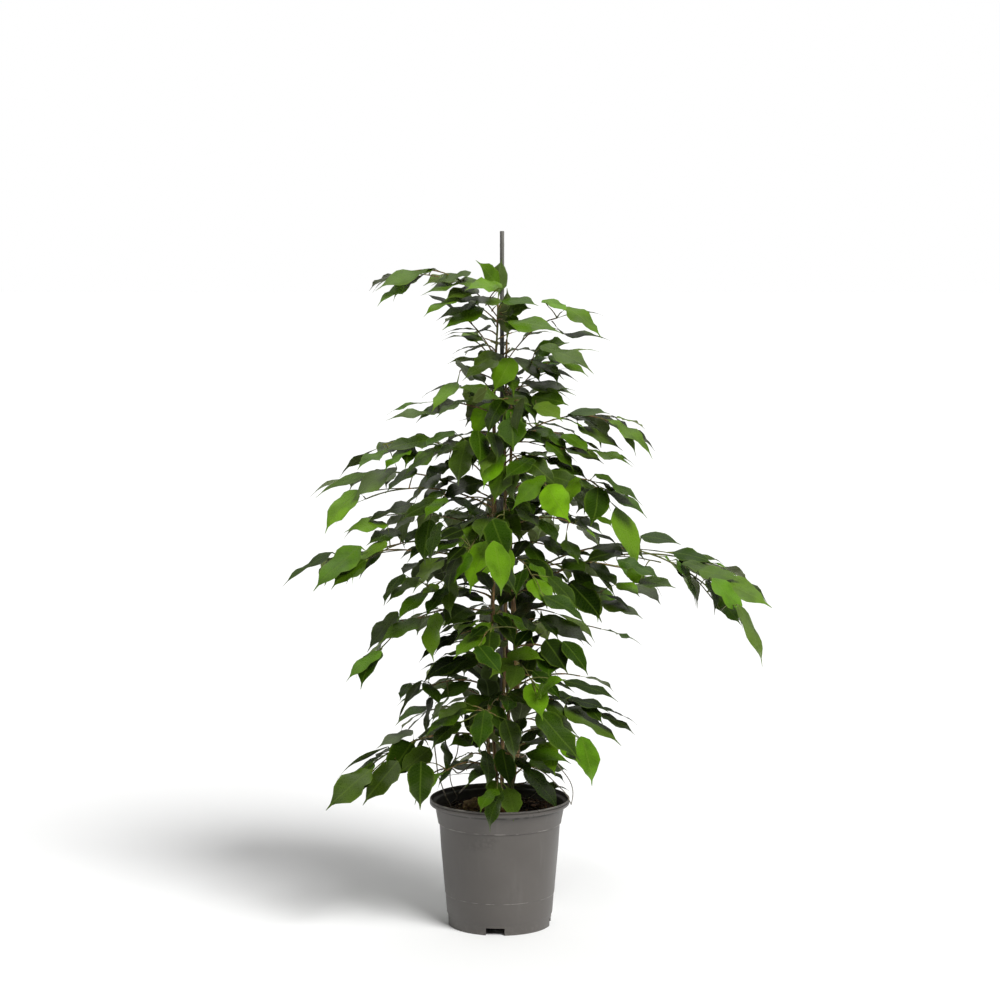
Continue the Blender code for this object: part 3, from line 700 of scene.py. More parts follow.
# A leaf's usual length, and the limits of what each leaf draws: its length and width as shares, its
# swing and its sag in radians, its curl and its fold.
LEAF_LENGTH = 0.067
LEAF_LENGTHS = (0.76, 1.16)
LEAF_WIDTHS = (0.50, 0.60)
LEAF_SWINGS = (-0.2, 0.2)
LEAF_SAGS = (0.05, 0.55)
LEAF_CURLS = (0.15, 0.70)
LEAF_FOLDS = (0.05, 0.28)
STALK = 0.013
STALK_HALF = 0.0007
STALK_ROOM = (0.012, 0.003)
BLADE = 0.0009
SHOULDER, BELLY, NECK = (0.13, 0.70), (0.42, 1.0), (0.80, 0.36)
# How far a blade may be rolled at random, and the turns tried in order until it crosses nothing.
LEAF_ROLLS = (0.12, 0.16, 0.50)
LEAF_SPREADS = (0, 0.3, -0.3, 0.55, -0.55, 0.8)
LEAF_DROPS = (0, 0.25, -0.25, 0.55)
LEAF_TILTS = (0, 0.35, -0.35)
LEAF_TRIES = len(LEAF_SPREADS) * len(LEAF_DROPS)
LEAF_CLEARANCE = 0.0009

Leaf = namedtuple("Leaf", "root base turn length width curl fold age")
Twig = namedtuple("Twig", "owner line wood thick thin")


def stem_point(stem, z):
    """The middle of a stem at height z: it fans out of the soil, then leans in and turns."""
    climb = max(0.0, (z - SOIL_TOP) / (stem.top - SOIL_TOP))
    out = STEM_GATHER + (STEM_SPREAD - STEM_GATHER) * min(1.0, climb / STEM_FAN) - STEM_LEAN * climb
    out += STEM_SWAY * math.sin(STEM_WAVES * climb + stem.bearing)
    return MIDDLE + on_circle(out, stem.bearing + STEM_TWIST * climb, z)


def stem_radius(stem, z):
    """A stem's radius at height z. It tapers evenly from its foot to its tip."""
    return stem.thick + (stem.thin - stem.thick) * (z - STEM_FOOT) / (stem.top - STEM_FOOT)


def stem_line(stem, low):
    last = STEM_RINGS - 1
    return [stem_point(stem, low + (stem.top - low) * i / last) for i in range(STEM_RINGS)]


def arch(start, end, rise):
    """A branch's line: it leaves upwards, bows over and hangs at its end."""
    one, two = (start.lerp(end, share) + UP * rise for share in ARCH_SHARES)
    points = []
    for i in range(ARCH_STEPS + 1):
        t = i / ARCH_STEPS
        s = 1 - t
        points.append(s**3 * start + 3 * s * s * t * one + 3 * s * t * t * two + t**3 * end)
    return points


def length_of(points):
    return sum((b - a).length for a, b in zip(points, points[1:]))


def along(points, distance):
    """The point at a distance along a line, and the way the line runs there."""
    for a, b in zip(points, points[1:]):
        step = (b - a).length
        if distance <= step:
            return a.lerp(b, distance / step), (b - a).normalized()
        distance -= step
    return points[-1].copy(), (points[-1] - points[-2]).normalized()


def on_twig(twig, distance):
    """A point in a twig's wood, and the way its smooth line runs there."""
    return along(twig.wood, distance)[0], along(twig.line, distance)[1]


def leaf_turn(heading, roll):
    """Axes of a blade: its length along heading, its upper face to the sky, then rolled."""
    x = heading.normalized()
    y = UP.cross(x)
    if y.length < 0.15:
        y = Vector((0, 1, 0)).cross(x)
    y.normalize()
    return Matrix((x, y, x.cross(y))).transposed() @ Matrix.Rotation(roll, 3, "X")


def blade_point(leaf, u, v, lift=0.0):
    """A point of a blade: u from stalk to tip, v across, lift above its upper face."""
    bend = leaf.curl * u
    spine = Vector((math.sin(bend), 0, math.cos(bend) - 1)) * (leaf.length / leaf.curl)
    normal = Vector((math.sin(bend), 0, math.cos(bend)))
    side = v * leaf.width / 2
    local = spine + Vector((0, side, 0)) + normal * (leaf.fold * abs(side) + lift)
    return leaf.base + leaf.turn @ local


def leaf_shape(leaf, pad=0.0):
    """Corners and faces of a plain leaf: a three-sided stalk and a folded, arched blade."""
    top, low = pad, -BLADE - pad
    edge = (top + low) / 2
    side = leaf.turn @ Vector((0, STALK_HALF + pad, 0))
    down = leaf.turn @ Vector((0, 0, low - 0.2 * MM))
    lift = leaf.turn @ Vector((0, 0, 0.25 * MM + pad))
    corners = [leaf.root + side * 0.6 + lift, leaf.root - side * 0.6 + lift]
    corners += [leaf.root + down * 0.45, leaf.base + side, leaf.base - side, leaf.base + down]
    middle, under, tip = 14, 15, 16
    faces = [(0, 2, 1), (0, 1, 4, 3), (1, 2, 5, 4), (2, 0, 3, 5), (3, 4, middle)]
    for sign, start, n in ((1, 3, 6), (-1, 4, 10)):
        corners.append(blade_point(leaf, SHOULDER[0], sign * SHOULDER[1], edge))
        corners.append(blade_point(leaf, BELLY[0], sign * BELLY[1], top))
        corners.append(blade_point(leaf, BELLY[0], sign * BELLY[1], low))
        corners.append(blade_point(leaf, NECK[0], sign * NECK[1], edge))
        half = [
            (start, middle, n), (n, middle, n + 1), (n + 1, middle, n + 3), (n + 3, middle, tip),
            (5, n, under), (n, n + 2, under), (n + 2, n + 3, under), (n + 3, tip, under),
            (start, n, 5), (n, n + 1, n + 2), (n + 1, n + 3, n + 2),
        ]
        faces += half if sign > 0 else [face[::-1] for face in half]
    corners += [blade_point(leaf, BELLY[0], 0, top), blade_point(leaf, BELLY[0], 0, low)]
    corners.append(blade_point(leaf, 1.0, 0, edge))
    return corners, faces


def tube_shape(points, thick, thin, sides=3):
    """A closed tapering tube along a line."""
    corners, faces = [], []
    side = UP.cross(points[1] - points[0])
    if side.length < 1e-6:
        side = Vector((1, 0, 0))
    last = len(points) - 1
    for i, point in enumerate(points):
        way = (points[min(i + 1, last)] - points[max(i - 1, 0)]).normalized()
        side = (side - way * side.dot(way)).normalized()
        radius = thick + (thin - thick) * i / last
        for k in range(sides):
            turn = 2 * math.pi * k / sides
            out = side * math.cos(turn) + way.cross(side) * math.sin(turn)
            corners.append(point + radius * out)
    for i in range(last):
        for k in range(sides):
            a, b = i * sides + k, i * sides + (k + 1) % sides
            faces.append((a, b, b + sides, a + sides))
    faces.append(tuple(range(sides))[::-1])
    faces.append(tuple(range(last * sides, (last + 1) * sides)))
    return corners, faces


class Crown:
    """What stands already, so that nothing new crosses it."""

    def __init__(self):
        self.standing = []

    def ball(self, corners):
        middle = sum(corners, Vector()) / len(corners)
        return middle, max((corner - middle).length for corner in corners)

    def add(self, owner, shape):
        self.standing.append((owner, *self.ball(shape[0]), BVHTree.FromPolygons(*shape)))

    def free(self, shape, skip):
        middle, reach = self.ball(shape[0])
        tree = BVHTree.FromPolygons(*shape)
        for owner, other, far, standing in self.standing:
            if skip(owner) or (middle - other).length > reach + far:
                continue
            if tree.overlap(standing):
                return False
        return True


def add_pot_and_stake(crown):
    """Plain stand-ins of the pot, the soil and the stake, a little larger than they are."""
    sides = 24
    rings = (
        (FOOT_RADIUS + 0.003, 0), (RIM_RADIUS + 0.003, POT_HEIGHT + 0.002),
        (RIM_RADIUS - 0.012, POT_HEIGHT + 0.002), (RIM_RADIUS - 0.014, SOIL_TOP + 0.006),
    )
    corners = [on_circle(radius, 360 / sides * i, z) for radius, z in rings for i in range(sides)]
    faces = []
    for low in (0, sides, 2 * sides):
        for i in range(sides):
            a, b = low + i, low + (i + 1) % sides
            faces.append((a, b, b + sides, a + sides))
    faces.append(tuple(range(3 * sides, 4 * sides)))
    crown.add("pot", (corners, faces))
    ends = [MIDDLE + UP * SOIL_TOP, MIDDLE + UP * STAKE_TOP]
    crown.add("stake", tube_shape(ends, STAKE_RADIUS + 0.001, STAKE_RADIUS + 0.001, 8))


def place_twig(crown, owner, start, tip, rise, radii, swings):
    """A twig, swung round the cane by the first angle that keeps its wood clear, or None."""
    thick, thin = radii
    if "f" not in owner:
        thick = min(thick, BRANCH_SHARE * stem_radius(STEMS[owner[0]], start.z))
    for swing in swings:
        line = arch(start, Matrix.Rotation(math.radians(swing), 3, "Z") @ tip, rise)
        whole = length_of(line) - LEAF_LENGTH
        count = max(2, round(whole / BRANCH_STEP))
        wood = [along(line, whole * i / count)[0] for i in range(count + 1)]
        shape = tube_shape(wood, thick + LEAF_CLEARANCE, thin + LEAF_CLEARANCE)
        if crown.free(shape, lambda other: other.startswith(owner[:2])):
            crown.add(owner, shape)
            return Twig(owner, line, wood, thick, thin)
    return None


def grow_branches(crown):
    twigs = []
    for name, rows in BRANCHES.items():
        for i, (z, tip, rise) in enumerate(rows):
            start = stem_point(STEMS[name], z * MM)
            owner, end = f"{name}.b{i}", Vector(tip) * MM
            twigs.append(place_twig(crown, owner, start, end, rise * MM, BRANCH_RADII, SWINGS))
    return [twig for twig in twigs if twig]


def nearest_stem(bearing, z):
    """The name of the stem that stands nearest to a bearing at height z."""
    way = on_circle(1, bearing)
    standing = [name for name in STEMS if STEMS[name].top > z + 0.02]
    return max(standing, key=lambda name: stem_point(STEMS[name], z).xy.normalized().dot(way.xy))


def grow_shoots(crown, count, seed, heights, reaches):
    twigs = []
    draw = random.Random(seed)
    low, high = heights
    for i in range(count):
        z = low + (high - low) * (i + 0.5) / count
        bearing = i * GOLDEN_ANGLE
        reach = draw.uniform(*reaches) * (1.0 if z < SHOOT_SHORTER_ABOVE else 0.8)
        tip = on_circle(reach, bearing, z - draw.uniform(0.0, SHOOT_DROP))
        name = nearest_stem(bearing, z)
        start = stem_point(STEMS[name], z)
        owner = f"{name}.s{i}" if seed == 7 else f"{name}.s{seed}_{i}"
        twigs.append(place_twig(crown, owner, start, tip, SHOOT_RISE, SHOOT_RADII, SHOOT_SWINGS))
    return [twig for twig in twigs if twig]


def grow_forks(crown, branches):
    """One or two side twigs on each long branch, to whichever side is free."""
    twigs = []
    for branch in branches:
        whole = length_of(branch.line)
        shares = FORK_PLACES[1] if whole > FORK_TWICE else FORK_PLACES[0]
        for k, share in enumerate(shares if whole > FORK_FROM else ()):
            start, way = on_twig(branch, whole * share)
            draw = random.Random(branch.owner + str(k))
            first = 1 if (k + ord(branch.owner[-1])) % 2 else -1
            for side in (first, -first):
                out = way * FORK_ALONG + UP.cross(way).normalized() * side * FORK_ASIDE
                drop = UP * (FORK_DROP + 2 * FORK_DROP * max(0.0, way.z))
                tip = start + out.normalized() * draw.uniform(*FORK_REACH) - drop
                owner = f"{branch.owner}f{k}"
                fork = place_twig(crown, owner, start, tip, FORK_RISE, FORK_RADII, (0,))
                if fork:
                    twigs.append(fork)
                    break
    return twigs


def place_leaf(crown, draw, twig, distance, side, size):
    """A leaf on one side of a twig, or at its end, turned until it crosses nothing, or None."""
    root, way = on_twig(twig, distance)
    lateral = UP.cross(way).normalized() * side
    length = size * LEAF_LENGTH * draw.uniform(*LEAF_LENGTHS)
    width = length * draw.uniform(*LEAF_WIDTHS)
    swing, roll = draw.uniform(*LEAF_SWINGS), draw.choice(LEAF_ROLLS) * draw.uniform(-1, 1)
    sag = draw.uniform(*LEAF_SAGS) + 0.15 * abs(way.y)
    curl, fold, age = draw.uniform(*LEAF_CURLS), draw.uniform(*LEAF_FOLDS), draw.random()
    for k in range(LEAF_TRIES):
        spread = LEAF_SPREADS[k % len(LEAF_SPREADS)]
        drop = LEAF_DROPS[k // len(LEAF_SPREADS)]
        tilt = LEAF_TILTS[k % len(LEAF_TILTS)]
        if side:
            stalk = way * 0.8 + lateral * (0.6 + 0.4 * spread) + UP * 0.12
            heading = way * 0.80 + lateral * (0.31 + swing + spread) - UP * (sag + drop)
        else:
            stalk = way
            heading = way + Vector((way.y, -way.x, 0)) * 0.8 * (swing + spread) - UP * drop
        base = root + stalk.normalized() * STALK * size
        leaf = Leaf(root, base, leaf_turn(heading, roll + tilt), length, width, curl, fold, age)
        shape = leaf_shape(leaf, LEAF_CLEARANCE)
        blade = leaf_shape(leaf._replace(root=base.lerp(root, 0.3)))
        clear_of_rest = crown.free(shape, lambda other: other == twig.owner)
        if clear_of_rest and crown.free(blade, lambda other: False):
            crown.add("leaf", shape)
            return leaf
    return None


def grow_leaves(crown, twigs, first):
    """Leaves along each twig by turns left and right, from its end inwards."""
    leaves = {name: [] for name in STEMS}
    for twig in twigs:
        draw = random.Random(twig.owner + str(first))
        whole = length_of(twig.line) - LEAF_LENGTH
        bare = BARE_FORK if first or "f" in twig.owner else BARE_BRANCH
        count = int((whole - bare - first) / LEAF_GAP) + 1
        if not first:
            count = max(2, count)
        for i in range(count):
            distance = whole - STALK_ROOM[1] - first - i * LEAF_GAP
            if distance < STALK_ROOM[0]:
                break
            side = 0 if i == 0 and not first else (1 if (i + len(twig.owner)) % 2 else -1)
            leaf = place_leaf(crown, draw, twig, distance, side, 0.92 + 0.2 * min(1, i / 3))
            if leaf:
                leaves[twig.owner[0]].append((twig, distance, leaf))
    return leaves


def leaders():
    """The tips of the stems themselves, which carry leaves like a twig."""
    found = []
    for name, stem in STEMS.items():
        wood = stem_line(stem, SOIL_TOP)
        end = wood[-1] + (wood[-1] - wood[-2]).normalized() * LEAF_LENGTH
        found.append(Twig(name + ".stem", wood + [end], wood, stem.thick, stem.thin))
    return found


crown = Crown()
add_pot_and_stake(crown)
for name, stem in STEMS.items():
    thick, thin = stem.thick + LEAF_CLEARANCE, stem.thin + LEAF_CLEARANCE
    crown.add(name + ".stem", tube_shape(stem_line(stem, SOIL_TOP), thick, thin, 6))
twigs = grow_branches(crown)
twigs += grow_shoots(crown, SHOOTS, 7, SHOOT_HEIGHTS, SHOOT_REACH)
twigs += grow_forks(crown, twigs)
leaves = grow_leaves(crown, twigs + leaders(), 0)

# The leaves that show most from the front, in millimetres, as seen from VIEWPOINT against the
# upright plane through the cane: where the stalk ends, where the tip is, how wide the blade looks
# (less than 0 where its underside shows) and its tone, from 0, old and dark, to 1, young and bright, set
# partly from how lit it looks, so partly painted light and shade.
SHOWN_LEAVES = (
    # The top of the plant.
    (0, 953, -33, 993, 22, 0.7), (-99, 982, -182, 956, 15, 0.75), (-129, 963, -181, 931, 13, 0.8),
    (-42, 978, -100, 960, 10, 0.55), (-29, 966, -114, 947, 9, 0.35), (3, 960, -50, 955, 16, 0.55),
    (-32, 953, -82, 940, 16, 0.4), (-20, 938, -82, 937, 10, 0.35), (-60, 940, -114, 916, 10, 0.45),
    (-35, 931, -92, 909, 10, 0.1), (-23, 925, -83, 894, 19, 0.7), (2, 937, -39, 933, 13, 0.2),
    (5, 937, 53, 931, 12, 0.1), (11, 921, 45, 928, 19, 0.05), (12, 913, 28, 891, 21, 0.2),
    (12, 905, 90, 890, 16, 0.25), (98, 927, 151, 884, 19, 0.85), (64, 937, 101, 921, 12, 0.6),
    (52, 863, 98, 874, 21, 0.2), (59, 869, 139, 835, 18, 0.3), (71, 855, 130, 826, 12, 0.6),
    (92, 887, 161, 881, 4, 0.1),
    (2, 857, -44, 838, 22, 0.3), (-44, 818, -66, 856, -13, 0.2), (-2, 847, -54, 822, 13, 0.25),
    (24, 853, 61, 818, 16, 0.3), (18, 852, -7, 803, 34, 0.8), (49, 847, 92, 825, 9, 0.45),
    (33, 816, 111, 800, 12, 0.15), (-63, 816, -100, 775, 18, 0.85), (-1, 792, -64, 812, 13, 0.12),
    (-20, 804, -42, 787, -16, 0.3), (48, 795, 100, 787, 27, 0.1), (54, 784, 92, 763, 21, 0.4),
    (-93, 770, -165, 763, 7, 0.4), (-50, 790, -91, 769, 7, 0.45), (-14, 785, -38, 735, 30, 1),
    (8, 794, 45, 784, 15, 0.35), (17, 763, 21, 720, 40, 0.25), (32, 792, 23, 744, 15, 0.35),
    # The left side, then the middle.
    (-100, 730, -171, 717, 16, 0.2), (-69, 744, -111, 723, 10, 0.15), (-168, 715, -211, 693, 10, 0.65),
    (-134, 717, -170, 690, 10, 0.5), (-84, 724, -143, 678, 13, 0.85), (-125, 689, -166, 657, 13, 0.3),
    (-152, 689, -218, 644, 19, 0.35), (-210, 656, -262, 598, 25, 0.9), (-185, 683, -274, 651, 6, 0.4),
    (-50, 730, -63, 666, 33, 0.2), (-32, 744, -28, 697, 27, 0.3), (-77, 696, -112, 674, 15, 0.15),
    (-87, 680, -132, 644, 12, 0.2), (-23, 668, -89, 647, 21, 0.12), (8, 692, -5, 641, 30, 0.28),
    (49, 703, 8, 677, 19, 0.33), (5, 709, -28, 663, 25, 1), (-126, 636, -200, 610, 9, 0.1),
    (-87, 641, -145, 615, 18, 0.3), (-80, 644, -111, 618, 13, 0.8), (-90, 608, -101, 557, 18, 0.35),
    (-103, 612, -113, 547, 30, 0.3), (-166, 604, -230, 599, 13, 0.65), (-148, 595, -196, 580, 15, 0.25),
    (-169, 580, -212, 548, 13, 0.65), (-199, 551, -251, 514, 21, 0.55), (-206, 572, -275, 511, 28, 0.45),
    (-248, 563, -323, 517, 7, 0.6), (-144, 530, -172, 491, 12, 0.3), (-120, 526, -166, 491, 12, 0.25),
    (-62, 557, -77, 511, 18, 0.08), (-11, 612, 11, 554, 38, 0.22), (-15, 580, -48, 509, 38, 0.88),
    (-9, 580, 4, 505, 32, 0.93),
    # The right side.
    (113, 675, 101, 632, 21, 0.75), (70, 663, 100, 612, 41, 0.9), (67, 677, 21, 629, 21, 1),
    (146, 660, 140, 605, 36, 0.05), (61, 612, 85, 580, 16, 0.3), (97, 581, 118, 551, 18, 0.3),
    (94, 551, 131, 538, 16, 0.7), (172, 630, 203, 538, 29, 0.55), (180, 563, 124, 554, 13, 0.12),
    (209, 587, 268, 577, 12, 0.15), (174, 551, 239, 526, 12, 0.22), (209, 521, 255, 515, 13, 0.25),
    (197, 514, 242, 494, 15, 0.55), (176, 517, 209, 503, 12, 0.65), (137, 547, 175, 514, 15, 0.22),
    (149, 488, 214, 471, 12, 0.55), (106, 515, 154, 464, 31, 0.1), (69, 729, 112, 689, 16, 0.35),
    (69, 702, 134, 674, 12, 0.15), (94, 739, 131, 714, 16, 0.3), (116, 749, 181, 717, 12, 0.3),
    (165, 760, 230, 708, 13, 0.42), (104, 770, 159, 772, 10, 0.2), (98, 717, 155, 699, 10, 0.42),
    (134, 715, 196, 695, 6, 0.75), (141, 680, 210, 638, 7, 0.15), (156, 656, 220, 620, 10, 0.2),
    (115, 617, 149, 596, 10, 0.15),
    # Low on the left, down to the soil.
    (-152, 474, -195, 416, 21, 0.35), (-117, 461, -179, 431, 16, 0.55), (-92, 473, -103, 402, 27, 0.7),
    (-176, 414, -227, 373, 13, 0.6), (-50, 405, -119, 372, 15, 0.05), (-25, 440, -67, 411, 19, 0.55),
    (-32, 422, 0, 387, 24, 0.12), (-116, 370, -154, 311, -12, 0.02), (-109, 331, -154, 311, 6, 0.45),
    (-112, 366, -88, 337, 13, 0.3), (-100, 345, -112, 290, -12, 0.02), (-50, 326, -113, 294, 12, 0.4),
    (-23, 325, -29, 269, 30, 0.33), (-59, 307, -104, 272, 16, 0.12), (-166, 269, -244, 229, -12, 0.05),
    (-130, 294, -182, 273, 9, 0.3), (-152, 247, -202, 185, 30, 0.4), (-193, 234, -256, 177, 31, 0.4),
    (-104, 267, -148, 232, 28, 0.5), (-118, 247, -121, 179, 38, 0.05), (-22, 263, -16, 215, 19, 0.18),
    (3, 266, 14, 212, 27, 0.02), (8, 311, 23, 252, 27, 0.15), (5, 203, -19, 146, 18, 0.3),
    (-4, 205, -33, 179, 15, 0.27), (11, 206, 25, 166, 30, 0.3),
    # Low on the right.
    (68, 431, 101, 387, 34, 0.05), (94, 429, 132, 382, 21, 0.3), (60, 465, 139, 429, 19, 0.22),
    (12, 411, 65, 408, 15, 0.6), (60, 354, 95, 378, 9, 0.65), (57, 345, 68, 370, 7, 0.6),
    (95, 369, 175, 346, 6, 0.05), (101, 342, 164, 326, 6, 0.05), (68, 340, 104, 313, 18, 0.2),
    (56, 323, 117, 252, 28, 0.19), (96, 328, 182, 279, 16, 0.32), (150, 320, 203, 293, 6, 0.15),
    (122, 285, 139, 215, 31, 0.42), (39, 259, 107, 252, 10, 0.6), (36, 235, 92, 176, 19, 0.22),
    # The end of the long branch on the right.
    (307, 527, 318, 478, 12, 0.2), (262, 553, 294, 488, 10, 0.3), (273, 548, 323, 533, 12, 0.6),
    (295, 535, 356, 524, 15, 0.6), (320, 524, 400, 484, 27, 0.45), (316, 524, 364, 467, 22, 0.55),
    (354, 485, 393, 401, 18, 0.5),
    # Between the rest.
    (72, 526, 115, 481, 18, 0.12), (65, 497, 129, 462, 13, 0.3), (-44, 367, -95, 340, 12, 0.3),
    (-76, 343, -109, 305, -10, 0.3), (-53, 337, -92, 316, 12, 0.4), (145, 615, 168, 605, 7, 0.35),
    (-80, 509, -107, 473, 18, 0.1), (-92, 514, -116, 503, 10, 0.6), (-32, 276, -77, 282, 12, 0.35),
    (-56, 596, -89, 584, 16, 0), (-53, 571, -78, 551, 15, 0.02), (-118, 599, -141, 577, 13, 0.4),
    (39, 581, 18, 554, 16, 0), (67, 581, 90, 557, 13, 0.3), (45, 446, 21, 423, 15, 0),
    (-82, 276, -80, 237, 13, 0.05),
    (-30, 534, -12, 508, 15, 0.03), (-50, 502, -22, 490, 11, 0.05), (33, 744, 62, 728, 13, 0.1),
    (-56, 583, -95, 569, 11, 0.3), (-134, 366, -149, 344, 12, 0.3), (-12, 742, -1, 702, 19, 0.08),
    (-6, 470, 18, 448, 13, 0), (-20, 452, -44, 436, 11, 0.05),
)
# Gaps that show from the front, in the same millimetres: where each one is and its radius. Leaves
# of the rule that would fill them are left out.
OPEN_PLACES = (
    (-198, 653, 18), (-172, 653, 19), (-142, 653, 19), (240, 542, 22), (-159, 562, 21),
    (-161, 419, 18), (90, 912, 18), (141, 443, 18), (116, 381, 18), (345, 444, 18),
    (-164, 618, 18), (51, 244, 13), (103, 596, 18), (140, 355, 13), (167, 644, 13),
    (-109, 784, 13), (-128, 496, 12), (75, 270, 16), (-66, 211, 19), (-57, 226, 18),
    (-192, 717, 24), (-279, 544, 25), (181, 538, 24), (-204, 639, 19), (-127, 669, 18),
    (51, 754, 16), (24, 868, 13), (-90, 838, 15), (48, 361, 12), (-63, 767, 13), (334, 476, 12),
    (-98, 971, 13), (60, 240, 14), (105, 398, 12),
)
VIEWPOINT = Vector((0.0005, -4.0, 1.074))
VIEW = Vector((0, -1, 0))
# How these leaves lie: the foremost and hindmost depths, the shares of their length that are kept
# in front of the rest, the room there, and the step forward for each try to get clear.
FORWARD_LIMITS = (-0.240, 0.10)
DEPTH_SHARES = (0.15, 0.35, 0.55, 0.8)
DEPTH_ROOM = 0.004
DEPTH_STEP = 0.006
DEPTH_TRIES = 6
SHOWN_CURLS = (0.12, 0.34)
SHOWN_FOLDS = (0.04, 0.16)
BLADE_WIDTH = 0.58
STALK_LENGTH = 0.014
# The sheets that keep the sight of such a leaf free: a blade's outline, and how many.
SIGHT_OUTLINE = ((0, 0), (0.2, 0.8), (0.5, 0.9), (1, 0), (0.5, -0.9), (0.2, -0.8))
SIGHT_SHEETS = 8


def against_plane(x, z, depth):
    """The point at a depth that hides a point of the plane through the cane from the viewpoint."""
    return VIEWPOINT.lerp(Vector((x * MM, 0, z * MM)), 1 + depth / -VIEWPOINT.y)


def seen_from(point, x, z):
    """How far from a place of the plane a point looks from the viewpoint."""
    seen = VIEWPOINT.lerp(point, -VIEWPOINT.y / (point.y - VIEWPOINT.y))
    return math.hypot(seen.x - x * MM, seen.z - z * MM)


def nearest_wood(x, z):
    """The twig or stem that looks nearest to a place, the foremost first, and its point there."""
    best, least = None, 1e9
    for twig, point in wood_points:
        away = seen_from(point, x, z) + 0.28 * (point.y + 0.2)
        if away < least:
            best, least = (twig, point), away
    return best


def in_front(x, z):
    """The depth of the foremost thing on the line of sight to a place."""
    aim = (Vector((x * MM, 0, z * MM)) - VIEWPOINT).normalized()
    depth = FORWARD_LIMITS[1]
    for owner, middle, far, standing in crown.standing:
        to = middle - VIEWPOINT
        if owner != "sight" and (to - aim * to.dot(aim)).length < far:
            hit = standing.ray_cast(VIEWPOINT, aim)[0]
            if hit:
                depth = min(depth, hit.y)
    return depth


def turn_shown(heading, open_share, under):
    """Axes of a blade along heading whose face is open to the viewer by a share of its width."""
    facing = (VIEW - heading * VIEW.dot(heading)).normalized()
    upwards = UP - heading * UP.dot(heading)
    upwards -= facing * upwards.dot(facing)
    if upwards.length < 0.05:
        upwards = facing.cross(heading)
    normal = facing * (-open_share if under else open_share)
    normal += upwards.normalized() * math.sqrt(1 - open_share * open_share)
    return Matrix((heading, normal.cross(heading), normal)).transposed()


def shown_leaf(row, draw):
    """A leaf of the table, in front of what stands behind it, and the wood it hangs from."""
    x0, z0, x1, z1, wide, age = row
    twig, wood = nearest_wood(x0, z0)
    flat = math.hypot(x1 - x0, z1 - z0) * MM
    length = max(flat * 1.03, abs(wide) * MM / 0.62, min(flat * 1.3, 0.062))
    forward = math.sqrt(max(0.0, length * length - flat * flat))
    width = max(abs(wide) * MM, BLADE_WIDTH * length)
    depth = wood.y - DEPTH_ROOM
    for share in DEPTH_SHARES:
        behind = in_front(x0 + (x1 - x0) * share, z0 + (z1 - z0) * share)
        depth = min(depth, behind - DEPTH_ROOM + forward * share)
    curl, fold = draw.uniform(*SHOWN_CURLS), draw.uniform(*SHOWN_FOLDS)
    for _ in range(DEPTH_TRIES):
        depth = max(FORWARD_LIMITS[0] + forward, depth)
        base = against_plane(x0, z0, depth)
        tip = against_plane(x1, z1, depth) + VIEW * forward
        turn = turn_shown((tip - base).normalized(), min(1.0, abs(wide) * MM / width), wide < 0)
        turn = turn @ Matrix.Rotation(-curl / 2, 3, "Y")
        reach = wood - base
        root = base + reach.normalized() * min(STALK_LENGTH, reach.length)
        leaf = Leaf(root, base, turn, length, width, curl, fold, age)
        if crown.free(leaf_shape(leaf), lambda other: other != "leaf"):
            break
        depth -= DEPTH_STEP
    return twig, wood, leaf


def sight_stack(leaf):
    """Sheets in front of a leaf, which keep later leaves out of the line of sight to it."""
    corners, faces = [], []
    outline = [blade_point(leaf, u, v) for u, v in SIGHT_OUTLINE]
    for layer in range(SIGHT_SHEETS):
        start = len(corners)
        corners += [corner.lerp(VIEWPOINT, 0.0015 + 0.0045 * layer) for corner in outline]
        faces.append(tuple(range(start, start + len(outline))))
    return corners, faces


def fills_gap(leaf):
    """Whether most of a leaf looks to be in one of the open places."""
    inside = 0
    for share in (0.25, 0.5, 0.75):
        place = blade_point(leaf, share, 0)
        inside += any(seen_from(place, x, z) < radius * MM for x, z, radius in OPEN_PLACES)
    return inside > 1


wood_points = []
for twig in twigs:
    whole = length_of(twig.wood)
    wood_points += [(twig, on_twig(twig, whole * i / 12)[0]) for i in range(1, 13)]
for twig in leaders():
    for point, other in zip(twig.wood, twig.wood[1:]):
        wood_points += [(twig, point.lerp(other, i / 4)) for i in range(4)]
shown = []
for number, row in enumerate(SHOWN_LEAVES):
    twig, wood, leaf = shown_leaf(row, random.Random(number))
    crown.add("leaf", leaf_shape(leaf))
    shown.append((twig, wood, leaf))
for twig, wood, leaf in shown:
    crown.add("sight", sight_stack(leaf))

# The fig has more leaves than the plain model: more short shoots near the stems, all the way up and
# again at the crown, and leaves between the first ones.
fillers = grow_shoots(crown, 70, 19, (0.205, 0.86), (0.060, 0.120))
fillers += grow_shoots(crown, 16, 23, (0.79, 0.895), (0.060, 0.105))
for more, first in ((fillers, 0), (twigs + leaders(), LEAF_GAP / 2), (fillers, LEAF_GAP / 4)):
    found = grow_leaves(crown, more, first)
    for name in STEMS:
        leaves[name] += found[name]
twigs += fillers
# The wood of the fig.
# Each stem is living wood, brown and ridged low down and olive-green out on the twigs, with a slight
# swelling at even steps along it. It is rooted in the soil, clear of the cane.

WOOD_STEP = 0.012
STEM_SIDES = 2
TWIG_SIDES = 1
TWIG_SHARE = 0.6
STEM_SHARE = 0.8
# How far real twigs and stems wander from their planned lines, and how close the bends follow.
TWIG_BENDS = (0.9 * MM, 45)
STEM_BENDS = (0.5 * MM, 40)
NODE_SWELL = 1.16
KNOB_STEM = "a"
KNOB_HEIGHT = 0.256
KNOB_SIZE = (0.45, 0.006)
STALK_RADII = (1.1 * MM, 0.6 * MM)
# noise_vector takes its offsets from the clock unless a seed is set, so one is set here.
BEND_SEED = 1
noise.seed_set(BEND_SEED)


